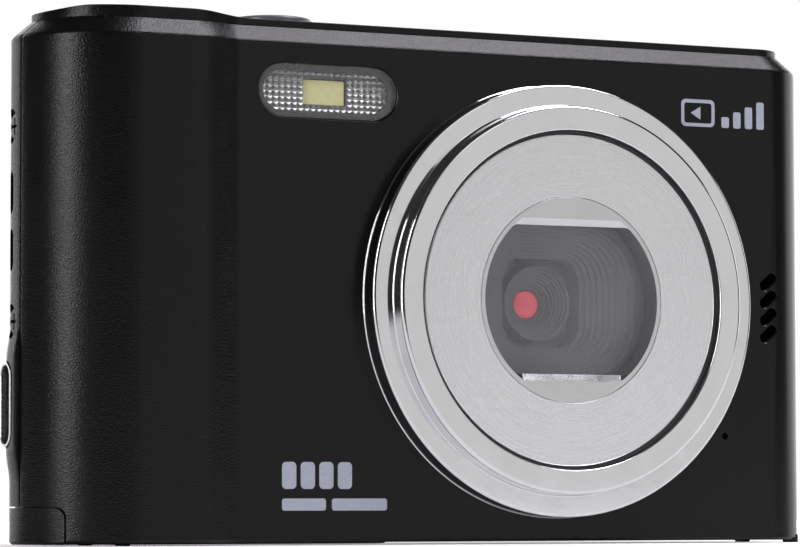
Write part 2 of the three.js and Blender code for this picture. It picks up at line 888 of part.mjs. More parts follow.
function flashReflector() {
  const front = flashThickness + 0.15;
  const tray = plateY(pill(flashX, flashHeight, flashWidth, flashTall), front, front + trayDepth, 5);
  const inside = pill(flashX, flashHeight, flashWidth - 1.8, flashTall - 1.6);
  const well = plateY(inside, front - 1, front + trayDepth - 0.5, 5);
  return cut(tray, well, block(flashX, flashHeight, ledWidth + 0.4, ledHeight + 0.4, 0, far));
}

function flashLed() {
  const back = flashThickness + 0.15 + trayDepth;
  return block(flashX, flashHeight, ledWidth, ledHeight, back - 1.3, back + 0.15);
}

function flashBoard() {
  const front = flashThickness + trayDepth + 0.35;
  return block(flashX, flashHeight, flashWidth + 1, flashTall - 0.6, front, front + 0.7);
}

// ---- Sound ----

function speaker() {
  const x = lensX + slotFromLens - 0.6;
  const front = wall + 2.5;
  const can = block(x, slotMiddle, speakerWidth, speakerHeight, front, front + speakerThickness);
  return can.subtract(block(x, slotMiddle, speakerWidth - 1.6, speakerHeight - 1.6, front - 1, front + 0.5));
}

const microphone = () => barY(lensX + micFromLens, micHeight, micRadius, wall + 0.15, wall + 1.5, 24);

// ---- Left side: port, strap and screws ----

function usbPort() {
  const mouth = leftEnd - bossProud - portProud;
  const end = leftEnd - bossProud + portDepth;
  const shell = plateX(pill(sideY, portHeight, portWidth, portLength), mouth, end, 5);
  const inside = pill(sideY, portHeight, portWidth - portWall * 2, portLength - portWall * 2);
  const tongue = box(mouth + 0.9, end - 0.4, sideY - 0.35, sideY + 0.35, portHeight - 3.2, portHeight + 3.2);
  return cut(shell, plateX(inside, -far, end - 0.5, 5)).add(tongue);
}

// A cup behind the two strap slots, so that nothing gets inside the casing through them.
function strapCup() {
  const cupWall = 0.6;
  const half = strapSlot + strapBar / 2 + 0.8;
  const inside = half - cupWall;
  const mouth = leftEnd + wall + 1.0;
  const end = cageLeft - 0.2;
  const cup = box(mouth, end, sideY - 1.5, sideY + 1.2, strapMiddle - half, strapMiddle + half);
  return cup.subtract(
    box(-far, end - cupWall, sideY - 0.9, sideY + 0.9, strapMiddle - inside, strapMiddle + inside),
  );
}

// A screw with its cross recess, standing on the z axis with its head's face at z = 0.
function screwSolid(headRadius, head, shank, length) {
  const body = turnedZ(
    [
      [0, 0],
      [headRadius * 0.75, 0],
      [headRadius, -head * 0.35],
      [headRadius, -head],
      [shank, -head],
      [shank, -length],
      [0, -length],
    ],
    0,
    0,
    16,
  );
  const arm = headRadius * 0.62;
  const crossA = box(-arm, arm, -0.16, 0.16, -head * 0.55, 1);
  const crossB = box(-0.16, 0.16, -arm, arm, -head * 0.55, 1);
  return cut(body, crossA, crossB);
}

const screwGeometry = (length) => geometryOf(screwSolid(screwHeadRadius, screwHead, screwShank, length));

// ---- Battery bay and door ----

const battery = () =>
  plateZ(
    roundRect(
      (batteryLeft + batteryRight) / 2,
      (batteryFront + batteryBack) / 2,
      batteryWidth,
      batteryThickness,
      1.6,
    ),
    batteryFloor + 0.3,
    batteryFloor + 0.3 + batteryLength,
    5,
  );

const cageTop = batteryFloor + batteryLength + 2.2;

// Back, two sides and roof round the battery, with ears for the side screws.
function batteryCage() {
  const right = batteryRight + fit + cageWall;
  const back = cageBack + cageWall;
  const outer = box(cageLeft, right, batteryFront + 0.9, back, batteryFloor, cageTop);
  const inner = box(cageLeft + cageWall, right - cageWall, -far, cageBack, -far, cageTop - cageWall);
  const ears = screwHeights.map((height) =>
    cut(
      box(cageLeft - 0.6, cageLeft + 2, cageBack + 0.1, sideY + 1.8, height - 1.9, height + 1.9),
      barX(sideY, height, screwShank + 0.15, -far, cageLeft + 3, 12),
    ),
  );
  const plateGap = box(right - 4, right + 1, -far, far, -far, batteryFloor + 0.5);
  return joined(cut(outer, inner, ...contactHoles(), plateGap), ...ears);
}

const contactX = [-6, 0, 6].map((offset) => (batteryLeft + batteryRight) / 2 + offset);
const contactY = (batteryFront + batteryBack) / 2;
const contactHoles = () => contactX.map((x) => block(x, cageTop, 2.4, 4, contactY - 1.1, contactY + 1.1));

// A blade through the bay's roof with a foot outside it.
function batteryContact(x) {
  const tip = batteryFloor + batteryLength + 0.5;
  const top = cageTop + 0.8;
  const front = contactY - 0.6;
  const blade = box(x - 0.8, x + 0.8, front, contactY + 0.6, tip, top);
  return blade.add(box(x - 0.8, x + 0.8, front, contactY + 2.4, top - 0.5, top));
}

function batteryDoor() {
  const inner = leftEnd + doorCapWidth;
  const blank = loft([ringAt(-doorCrown, 0.45), ringAt(bottomBevel - doorCrown), ringAt(doorCapHeight + 1)]);
  const hollow = loft([ringAt(doorThickness, doorWall), ringAt(doorCapHeight + 2, doorWall)]);
  const cap = cut(blank.intersect(doorFace(0)), hollow);
  const flat = insideOutline(doorMargin, pinX - slideTravel, -doorCrown, doorThickness);
  const neckEnd = inner + slideTravel * 2;
  const neck = box(inner - 1.5, neckEnd, neckMargin, casingDepth - neckMargin, -doorCrown, doorThickness);
  const tray = flat.translate(slideTravel, 0, 0).add(neck);
  const knuckle = barY(pinX, pinZ, knuckleRadius, armY[0] + armThickness + armGap, armY[1] - armGap, 24);
  const armRoom = armY.map((y) =>
    box(pinX - knuckleRadius - 0.5, pinX + 2, y < casingMiddle ? -far : y - armGap,
      y < casingMiddle ? y + armThickness + armGap : far, -far, far),
  );
  const bored = cut(
    joined(cap, cut(tray, ...armRoom), knuckle),
    barY(pinX, pinZ, pinRadius + pinClearance, -far, far, 24),
  );
  const feet = [frontFootY, rearFootY].map((y) => foot(leftEnd + doorFootFromEnd, y));
  return joined(bored, ...feet);
}

const armY = [doorFront + 0.8, doorBack - 0.8 - armThickness];

// The bracket that carries the hinge pin and slides along the bottom.
function doorSlide() {
  const arms = armY.map((y) =>
    box(pinX - knuckleRadius, pinX + knuckleRadius, y, y + armThickness, 0.1, 2.7),
  );
  const bridge = box(pinX - 5.2, pinX + knuckleRadius, armY[0], armY[1] + armThickness, 2.1, 2.7);
  return cut(joined(bridge, ...arms), barY(pinX, pinZ, pinRadius + pinClearance, -far, far, 24));
}

const hingePin = () => barY(pinX, pinZ, pinRadius, armY[0] - 0.2, armY[1] + armThickness + 0.2, 20);

// ---- Card socket, tripod bush ----

function cardSocket() {
  const x = batteryLeft + 12.5;
  const front = cageBack + cageWall + fit;
  const shell = box(x - 6.5, x + 6.5, front, front + 1.6, batteryFloor, 18);
  return shell.subtract(box(x - 5.7, x + 5.7, front + 0.4, front + 1.2, -far, 16.5));
}

function tripodBush() {
  return turnedZ(
    [
      [tripodBore, 0.15],
      [tripodRadius, 0.15],
      [tripodRadius, tripodDepth],
      [tripodBore, tripodDepth],
    ],
    tripodX,
    casingMiddle,
    24,
  );
}

// ---- Finishes ----

const finishes = {
  blackShell: { color: 0x1b1b1d, roughness: 0.45, metalness: 0.0 },
  blackKey: { color: 0x242427, roughness: 0.5, metalness: 0.0 },
  chrome: { color: 0xcfd0d2, roughness: 0.12, metalness: 1.0 },
  spunMetal: { color: 0xc4c5c7, roughness: 0.3, metalness: 1.0 },
  clear: { color: 0xdfe6ea, roughness: 0.05, metalness: 0.0, transparent: true, opacity: 0.35 },
  baffleBlack: { color: 0x202022, roughness: 0.7, metalness: 0.0 },
  coatedLens: { color: 0xa02833, roughness: 0.1, metalness: 0.0 },
  lampYellow: { color: 0xd8d27a, roughness: 0.5, metalness: 0.0 },
  reflectorGrey: { color: 0xa9a9ad, roughness: 0.3, metalness: 0.6 },
  boardGreen: { color: 0x1d4a2c, roughness: 0.5, metalness: 0.0 },
  chipBlack: { color: 0x151516, roughness: 0.6, metalness: 0.0 },
  steel: { color: 0xb4b4b6, roughness: 0.3, metalness: 1.0 },
  displayGlass: { color: 0x08090b, roughness: 0.06, metalness: 0.0 },
  batteryWrap: { color: 0x2b3137, roughness: 0.5, metalness: 0.0 },
  brass: { color: 0xb59a4d, roughness: 0.35, metalness: 1.0 },
};

function add(group, name, piece, finish) {
  const geometry = piece.isBufferGeometry ? piece : geometryOf(piece);
  const mesh = new THREE.Mesh(geometry, new THREE.MeshStandardMaterial(finishes[finish]));
  mesh.name = name;
  group.add(mesh);
  return mesh;
}

// ---- The camera ----

function buildCasing(group) {
  add(group, "front_cover", frontCover(), "blackShell");
  add(group, "rear_cover", rearCover(), "blackShell");
  add(group, "top_plate", topPlate(), "blackShell");
}

function buildLens(group) {
  add(group, "bezel_ring", bezelRing(), "chrome");
  add(group, "lens_disc", lensDisc(), "spunMetal");
  add(group, "window_frame", windowFrame(), "chrome");
  add(group, "lens_window", lensWindow(), "clear");
  add(group, "lens_baffle", lensBaffle(), "baffleBlack");
  add(group, "lens_barrel", lensBarrel(), "baffleBlack");
  add(group, "lens_element", lensElement(), "coatedLens");
  add(group, "lens_holder", lensHolder(), "chipBlack");
  add(group, "image_sensor", imageSensor(), "chipBlack");
}

function buildElectronics(group) {
  add(group, "main_board", mainBoard(), "boardGreen");
  add(group, "processor_chip", processorChip(), "chipBlack");
  add(group, "memory_chip", memoryChip(), "chipBlack");
  add(group, "display_panel", displayPanel(), "steel");
  add(group, "display_window", displayWindow(), "displayGlass");
  add(group, "key_board", keyBoard(), "boardGreen");
  add(group, "top_board", topBoard(), "boardGreen");
  add(group, "shutter_switch", topSwitch(shutterX), "steel");
  add(group, "power_switch", topSwitch(powerX), "steel");
  add(group, "speaker", speaker(), "chipBlack");
  add(group, "microphone", microphone(), "steel");
  add(group, "usb_port", usbPort(), "steel");
  add(group, "card_socket", cardSocket(), "steel");
}

function buildFlash(group) {
  add(group, "flash_window", flashWindow(), "clear");
  add(group, "flash_reflector", flashReflector(), "reflectorGrey");
  add(group, "flash_led", flashLed(), "lampYellow");
  add(group, "flash_board", flashBoard(), "boardGreen");
}

function buildControls(group) {
  keyPlaces()
    .filter((key) => !key.ring)
    .forEach((key) => add(group, key.name, smallKey(key), "blackKey"));
  add(group, "direction_pad", directionPad(), "blackKey");
  add(group, "pad_pivot", padPivot(), "steel");
  add(group, "ok_key", okKey(), "blackKey");
  add(group, "shutter_button", shutterButton(), "steel");
  add(group, "power_button", powerButton(), "blackKey");
}

function buildBattery(group) {
  add(group, "battery", battery(), "batteryWrap");
  add(group, "battery_cage", batteryCage(), "chipBlack");
  contactX.forEach((x, i) => add(group, "battery_contact_" + (i + 1), batteryContact(x), "brass"));
  add(group, "battery_door", batteryDoor(), "blackShell");
  add(group, "door_slide", doorSlide(), "steel");
  add(group, "hinge_pin", hingePin(), "steel");
}

function buildFasteners(group) {
  add(group, "strap_cup", strapCup(), "baffleBlack");
  ["upper", "lower"].forEach((place, i) => {
    const screw = add(group, "side_screw_" + place, screwGeometry(5), "steel");
    screw.rotation.y = -Math.PI / 2;
    screw.position.set(leftEnd + screwRecess - screwHead - screwSeatGap, sideY, screwHeights[i]);
  });
  ["middle", "right"].forEach((place, i) => {
    const screw = add(group, "bottom_screw_" + place, screwGeometry(4), "steel");
    screw.rotation.x = Math.PI;
    screw.position.set(bottomScrewX[i], bottomScrewY, screwRecess - screwHead - screwSeatGap);
  });
  add(group, "tripod_bush", tripodBush(), "brass");
}

const camera = new THREE.Group();
camera.name = "compact_camera";
[buildCasing, buildLens, buildElectronics, buildFlash, buildControls, buildBattery, buildFasteners].forEach(
  (build) => build(camera),
);
camera.position.set(
  (bossProud + portProud) / 2,
  (ringInnerProud - casingDepth - keyProud) / 2,
  footHeight,
);

export default camera;
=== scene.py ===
import math

import bmesh
import bpy
from mathutils import Matrix, Vector
from mathutils.geometry import interpolate_bezier


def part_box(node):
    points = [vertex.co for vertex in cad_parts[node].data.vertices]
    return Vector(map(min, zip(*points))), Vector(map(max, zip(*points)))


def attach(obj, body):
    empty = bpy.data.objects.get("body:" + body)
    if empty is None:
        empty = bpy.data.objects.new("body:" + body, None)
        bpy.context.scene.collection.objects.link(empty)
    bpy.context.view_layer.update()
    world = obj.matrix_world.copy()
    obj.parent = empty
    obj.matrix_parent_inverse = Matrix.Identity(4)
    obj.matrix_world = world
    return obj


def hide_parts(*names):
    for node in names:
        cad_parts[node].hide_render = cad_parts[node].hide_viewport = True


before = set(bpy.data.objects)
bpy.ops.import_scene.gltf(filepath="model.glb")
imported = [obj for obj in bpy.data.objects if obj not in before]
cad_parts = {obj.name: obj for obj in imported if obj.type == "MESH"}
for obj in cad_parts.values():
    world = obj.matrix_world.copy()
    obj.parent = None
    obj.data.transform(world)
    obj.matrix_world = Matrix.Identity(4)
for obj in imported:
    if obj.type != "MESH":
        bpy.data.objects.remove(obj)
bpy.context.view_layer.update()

mm = 0.001  # pieces are drawn in millimetres and brought to metres when they are settled

coverLow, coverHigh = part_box("front_cover")
ringLow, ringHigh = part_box("bezel_ring")

casing = {
    "width": 94.6,
    "height": 55.22,       # bottom face to the covers' top
    "depth": 15.7,         # front panel to back face
    "seam": 7.0,           # front panel to the line between the covers
    "seamGap": 0.16,
    "wall": 1.5,
    "topWall": 1.3,
    "frontChamfer": 1.27,
    "endChamfer": 2.1,
    "chamferHeight": 1.78,
    "chamferSoft": 0.3,
    "bottomBevel": 0.3,
    "cornerRound": 6.0,
    "backRound": 5.0,
    "footHeight": 0.3,
    "edgeSoft": 0.08,
}
grip = {
    "proud": 1.35,
    "width": 22.17,
    "crestStart": 10.57,
    "crestEnd": 16.57,
    "widestDepth": 8.5,
    "backSweep": 8.3,
}
leftEnd = -casing["width"] / 2
rightEnd = casing["width"] / 2
backFace = casing["depth"]
middleY = casing["depth"] / 2
rearStart = casing["seam"] + casing["seamGap"]
sideY = casing["seam"] + 2.9
ringProud = 4.4

# the drawing's own origin in the row frame: middle of the casing, front panel, bottom face
drawingOrigin = Vector((
    coverHigh.x / mm - rightEnd,
    ringLow.y / mm + ringProud,
    coverLow.z / mm + casing["footHeight"],
))
lensX = (ringLow.x + ringHigh.x) / 2 / mm - drawingOrigin.x
lensZ = (ringLow.z + ringHigh.z) / 2 / mm - drawingOrigin.z


# lowest and highest corner of a CAD node, in the drawing's millimetres
def drawn(node):
    low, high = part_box(node)
    return low / mm - drawingOrigin, high / mm - drawingOrigin


def middleOf(node):
    low, high = drawn(node)
    return (low + high) / 2


view = {
    "fromLens": (-210.84, -376.29, -22.97),
    "yaw": 26.98,
    "pitch": 3.467,
    "roll": -0.094,
    "lens": 175.84,
}


def makeCamera():
    data = bpy.data.cameras.new("studioCamera")
    data.lens = view["lens"]
    data.sensor_width = 36
    data.clip_start = 0.01
    camera = bpy.data.objects.new("studioCamera", data)
    bpy.context.scene.collection.objects.link(camera)
    turn = Matrix.Rotation(math.radians(-view["yaw"]), 4, "Z")
    tilt = Matrix.Rotation(math.radians(90 + view["pitch"]), 4, "X")
    roll = Matrix.Rotation(math.radians(view["roll"]), 4, "Z")
    lens = drawingOrigin + Vector((lensX, 0, lensZ))
    place = (lens + Vector(view["fromLens"])) * mm
    camera.matrix_world = Matrix.Translation(place) @ turn @ tilt @ roll
    bpy.context.scene.camera = camera


# direction is degrees round from the front (right positive) and degrees up
lights = {
    "frontSheet": {"direction": (31.5, 6), "distance": 0.75, "size": (0.33, 0.60), "power": 0.44},
    "upperSheet": {"direction": (16, 22), "distance": 0.75, "size": (0.20, 0.20), "power": 0.1},
    "topSheet": {"direction": (58, 60), "distance": 0.6, "size": (0.32, 0.28), "power": 3.2,
                 "colour": (0.97, 0.94, 1.0)},
    "gripStrip": {"direction": (-66, 4), "distance": 0.5, "size": (0.12, 0.60), "power": 2.2},
    "rimSheet": {"direction": (104, 5), "distance": 0.8, "size": (0.7, 0.5), "power": 2.0},
    "rearSheet": {"direction": (156, 18), "distance": 0.8, "size": (0.85, 0.60), "power": 2.7},
    "rearStrip": {"direction": (-155, 14), "distance": 0.7, "size": (0.25, 0.45), "power": 0.7},
}
lightTarget = Vector((0, 0, 0.03))


def makeLights():
    for name, light in lights.items():
        data = bpy.data.lights.new(name, "AREA")
        data.shape = "RECTANGLE"
        data.size, data.size_y = light["size"]
        data.energy = light["power"]
        data.color = light.get("colour", (1, 1, 1))
        azimuth, up = (math.radians(angle) for angle in light["direction"])
        towards = Vector((math.sin(azimuth) * math.cos(up), -math.cos(azimuth) * math.cos(up), math.sin(up)))
        lamp = bpy.data.objects.new(name, data)
        bpy.context.scene.collection.objects.link(lamp)
        lamp.location = lightTarget + towards * light["distance"]
        lamp.rotation_euler = towards.to_track_quat("Z", "Y").to_euler()


def makeWorld():
    world = bpy.data.worlds.new("studio")
    bpy.context.scene.world = world
    world.use_nodes = True
    tree = world.node_tree
    soft = tree.nodes["Background"]
    soft.inputs["Color"].default_value = (1, 1, 1, 1)
    soft.inputs["Strength"].default_value = 0.035
    backdrop = tree.nodes.new("ShaderNodeBackground")
    backdrop.inputs["Color"].default_value = (1, 1, 1, 1)
    backdrop.inputs["Strength"].default_value = 1.0
    path = tree.nodes.new("ShaderNodeLightPath")
    mix = tree.nodes.new("ShaderNodeMixShader")
    tree.links.new(path.outputs["Is Camera Ray"], mix.inputs["Fac"])
    tree.links.new(soft.outputs["Background"], mix.inputs[1])
    tree.links.new(backdrop.outputs["Background"], mix.inputs[2])
    tree.links.new(mix.outputs["Shader"], tree.nodes["World Output"].inputs["Surface"])
    bpy.context.scene.view_settings.view_transform = "Standard"
    bpy.context.scene.view_settings.look = "None"


def makeFloor():
    bm = bmesh.new()
    bmesh.ops.create_grid(bm, x_segments=1, y_segments=1, size=3)
    mesh = bpy.data.meshes.new("floor")
    bm.to_mesh(mesh)
    bm.free()
    floor = bpy.data.objects.new("floor", mesh)
    bpy.context.scene.collection.objects.link(floor)
    mesh.materials.append(paleFloor())


# glows for the camera away from the object, and is clear from underneath
def paleFloor():
    material, tree, shader = newMaterial("paleFloor")
    setSockets(shader, Roughness=0.8)
    shader.inputs["Base Color"].default_value = (0.93, 0.93, 0.93, 1)
    shader.inputs["Emission Color"].default_value = (1, 1, 1, 1)
    distance = tree.nodes.new("ShaderNodeVectorMath")
    distance.operation = "LENGTH"
    tree.links.new(objectPoints(tree), distance.inputs[0])
    glow = rangeOf(tree, distance.outputs["Value"], 0.25, 1.0, 0.06, 0.35)
    path = tree.nodes.new("ShaderNodeLightPath")
    tree.links.new(maths(tree, "MULTIPLY", glow, path.outputs["Is Camera Ray"]),
                   shader.inputs["Emission Strength"])
    clear = tree.nodes.new("ShaderNodeBsdfTransparent")
    side = tree.nodes.new("ShaderNodeNewGeometry")
    mix = tree.nodes.new("ShaderNodeMixShader")
    tree.links.new(side.outputs["Backfacing"], mix.inputs["Fac"])
    tree.links.new(shader.outputs["BSDF"], mix.inputs[1])
    tree.links.new(clear.outputs["BSDF"], mix.inputs[2])
    tree.links.new(mix.outputs["Shader"], tree.nodes["Material Output"].inputs["Surface"])
    return material


def newMaterial(name):
    material = bpy.data.materials.new(name)
    material.use_nodes = True
    tree = material.node_tree
    return material, tree, tree.nodes["Principled BSDF"]


def setSockets(shader, **values):
    for key, value in values.items():
        shader.inputs[key.replace("_", " ")].default_value = value


def objectPoints(tree, centre=(0, 0, 0), turn=(0, 0, 0)):
    coords = tree.nodes.new("ShaderNodeTexCoord")
    shift = tree.nodes.new("ShaderNodeMapping")
    shift.inputs["Location"].default_value = [-c for c in centre]
    tree.links.new(coords.outputs["Object"], shift.inputs["Vector"])
    if not any(turn):
        return shift.outputs["Vector"]
    spin = tree.nodes.new("ShaderNodeMapping")
    spin.inputs["Rotation"].default_value = turn
    tree.links.new(shift.outputs["Vector"], spin.inputs["Vector"])
    return spin.outputs["Vector"]


# blotches of about this size in millimetres
def noise(tree, vector, size, detail=2.0, rough=0.5):
    node = tree.nodes.new("ShaderNodeTexNoise")
    node.inputs["Scale"].default_value = 1 / (size * mm)
    node.inputs["Detail"].default_value = detail
    node.inputs["Roughness"].default_value = rough
    tree.links.new(vector, node.inputs["Vector"])
    return node.outputs["Fac"]


def rangeOf(tree, value, low, high, fromLow=0.3, fromHigh=0.7):
    node = tree.nodes.new("ShaderNodeMapRange")
    node.inputs["From Min"].default_value = fromLow
    node.inputs["From Max"].default_value = fromHigh
    node.inputs["To Min"].default_value = low
    node.inputs["To Max"].default_value = high
    tree.links.new(value, node.inputs["Value"])
    return node.outputs["Result"]


def tint(tree, value, dark, light, low=0.35, high=0.65):
    ramp = tree.nodes.new("ShaderNodeValToRGB")
    ramp.color_ramp.elements[0].position = low
    ramp.color_ramp.elements[0].color = (*dark, 1)
    ramp.color_ramp.elements[1].position = high
    ramp.color_ramp.elements[1].color = (*light, 1)
    tree.links.new(value, ramp.inputs["Fac"])
    return ramp.outputs["Color"]


def bump(tree, height, depth, shader, strength=1.0):
    node = tree.nodes.new("ShaderNodeBump")
    node.inputs["Strength"].default_value = strength
    node.inputs["Distance"].default_value = depth * mm
    tree.links.new(height, node.inputs["Height"])
    tree.links.new(node.outputs["Normal"], shader.inputs["Normal"])


def maths(tree, kind, a, b=None):
    node = tree.nodes.new("ShaderNodeMath")
    node.operation = kind
    for socket, value in zip(node.inputs, (a, b)):
        if isinstance(value, (int, float)):
            socket.default_value = value
        elif value is not None:
            tree.links.new(value, socket)
    return node.outputs["Value"]


def mouldedPlastic(name, dark, light, rough=(0.36, 0.44), grain=0.25, depth=0.02, specular=0.5):
    material, tree, shader = newMaterial(name)
    shader.inputs["Specular IOR Level"].default_value = specular
    points = objectPoints(tree)
    broad = noise(tree, points, 14.0, detail=3.0)
    tree.links.new(tint(tree, broad, dark, light), shader.inputs["Base Color"])
    tree.links.new(rangeOf(tree, broad, *rough), shader.inputs["Roughness"])
    bump(tree, noise(tree, points, grain, detail=3.0, rough=0.6), depth, shader)
    return material


# the shell's grain is coarse on the grip and the chamfer, and fine on the flat panel
def shellPlastic():
    material = mouldedPlastic("blackShell", (0.0035, 0.0035, 0.0037), (0.005, 0.005, 0.0052),
                              rough=(0.22, 0.28), specular=0.22)
    tree = material.node_tree
    shader = tree.nodes["Principled BSDF"]
    points = objectPoints(tree)
    split = tree.nodes.new("ShaderNodeSeparateXYZ")
    tree.links.new(points, split.inputs["Vector"])
    panelStart = (drawingOrigin.x + leftEnd + grip["width"]) * mm
    panelTop = (drawingOrigin.z + casing["height"] - casing["chamferHeight"]) * mm
    onGrip = maths(tree, "LESS_THAN", split.outputs["X"], panelStart)
    onChamfer = maths(tree, "GREATER_THAN", split.outputs["Z"], panelTop)
    coarse = maths(tree, "MAXIMUM", onGrip, onChamfer)
    strength = rangeOf(tree, coarse, 0.15, 1.0, 0.0, 1.0)
    grain = noise(tree, points, 0.17, detail=1.0)
    bump(tree, maths(tree, "MULTIPLY", grain, strength), 0.036, shader)
    return material


def metal(name, colour, rough=(0.05, 0.12), grain=0.9, depth=0.0015):
    material, tree, shader = newMaterial(name)
    points = objectPoints(tree)
    setSockets(shader, Metallic=1.0)
    smear = noise(tree, points, 6.0, detail=5.0, rough=0.65)
    light = tuple(min(c * 1.06, 1.0) for c in colour)
    tree.links.new(tint(tree, smear, colour, light), shader.inputs["Base Color"])
    tree.links.new(rangeOf(tree, smear, *rough), shader.inputs["Roughness"])
    bump(tree, noise(tree, points, grain, detail=4.0), depth, shader)
    return material


# fine turning lines round the lens axis
def spunMetal():
    material, tree, shader = newMaterial("spunMetal")
    centre = ((lensX + drawingOrigin.x) * mm, 0, (lensZ + drawingOrigin.z) * mm)
    points = objectPoints(tree, centre)
    split = tree.nodes.new("ShaderNodeSeparateXYZ")
    tree.links.new(points, split.inputs["Vector"])
    squareX = maths(tree, "MULTIPLY", split.outputs["X"], split.outputs["X"])
    squareZ = maths(tree, "MULTIPLY", split.outputs["Z"], split.outputs["Z"])
    radius = maths(tree, "SQRT", maths(tree, "ADD", squareX, squareZ))
    lines = tree.nodes.new("ShaderNodeTexNoise")
    lines.noise_dimensions = "1D"
    lines.inputs["Scale"].default_value = 1 / (0.16 * mm)
    lines.inputs["Detail"].default_value = 3.0
    tree.links.new(radius, lines.inputs["W"])
    setSockets(shader, Metallic=1.0)
    tree.links.new(tint(tree, lines.outputs["Fac"], (0.72, 0.72, 0.73), (0.80, 0.80, 0.81)),
                   shader.inputs["Base Color"])
    tree.links.new(rangeOf(tree, lines.outputs["Fac"], 0.24, 0.36), shader.inputs["Roughness"])
    bump(tree, lines.outputs["Fac"], 0.003, shader)
    return material


# clear plastic drawn as a faint pale film: its pale colour is painted reflection of the bright surroundings,
# blotched by real dust
def clearPlastic(name, paintedReflection, alpha, rough=0.03):
    material, tree, shader = newMaterial(name)
    points = objectPoints(tree)
    dust = noise(tree, points, 2.0, detail=6.0, rough=0.7)
    light = tuple(c * 1.1 for c in paintedReflection)
    tree.links.new(tint(tree, dust, paintedReflection, light), shader.inputs["Base Color"])
    setSockets(shader, Roughness=rough, Alpha=alpha)
    bump(tree, noise(tree, points, 8.0), 0.002, shader)
    return material


def circuitBoard():
    material, tree, shader = newMaterial("circuitBoard")
    tracks = tree.nodes.new("ShaderNodeTexBrick")
    tracks.inputs["Scale"].default_value = 1 / (1.2 * mm)
    tracks.inputs["Mortar Size"].default_value = 0.06
    tracks.inputs["Color1"].default_value = (0.012, 0.09, 0.035, 1)
    tracks.inputs["Color2"].default_value = (0.015, 0.11, 0.045, 1)
    tracks.inputs["Mortar"].default_value = (0.03, 0.19, 0.08, 1)
    tree.links.new(objectPoints(tree, turn=(math.pi / 2, 0, 0)), tracks.inputs["Vector"])
    tree.links.new(tracks.outputs["Color"], shader.inputs["Base Color"])
    setSockets(shader, Roughness=0.4)
    bump(tree, tracks.outputs["Fac"], 0.02, shader)
    return material


def printedInk(name, colour):
    material, tree, shader = newMaterial(name)
    worn = noise(tree, objectPoints(tree), 0.35, detail=4.0, rough=0.7)
    dark = tuple(c * 0.86 for c in colour)
    tree.links.new(tint(tree, worn, dark, colour), shader.inputs["Base Color"])
    setSockets(shader, Roughness=0.5)
    bump(tree, worn, 0.006, shader)
    return material


# black glass, a little lighter where the picture area lies behind it
def screenGlass():
    material, tree, shader = newMaterial("screenGlass")
    centre = (middleOf("display_window") + drawingOrigin) * mm
    points = objectPoints(tree, centre)
    split = tree.nodes.new("ShaderNodeSeparateXYZ")
    tree.links.new(points, split.inputs["Vector"])
    inX = maths(tree, "LESS_THAN", maths(tree, "ABSOLUTE", split.outputs["X"]), 28.6 * mm)
    inZ = maths(tree, "LESS_THAN", maths(tree, "ABSOLUTE", split.outputs["Z"]), 21.3 * mm)
    tree.links.new(tint(tree, maths(tree, "MULTIPLY", inX, inZ), (0.003, 0.003, 0.004),
                        (0.011, 0.012, 0.016), 0.4, 0.6), shader.inputs["Base Color"])
    smear = noise(tree, points, 9.0, detail=5.0, rough=0.7)
    tree.links.new(rangeOf(tree, smear, 0.035, 0.11), shader.inputs["Roughness"])
    bump(tree, noise(tree, points, 20.0), 0.004, shader)
    return material


finish = {}


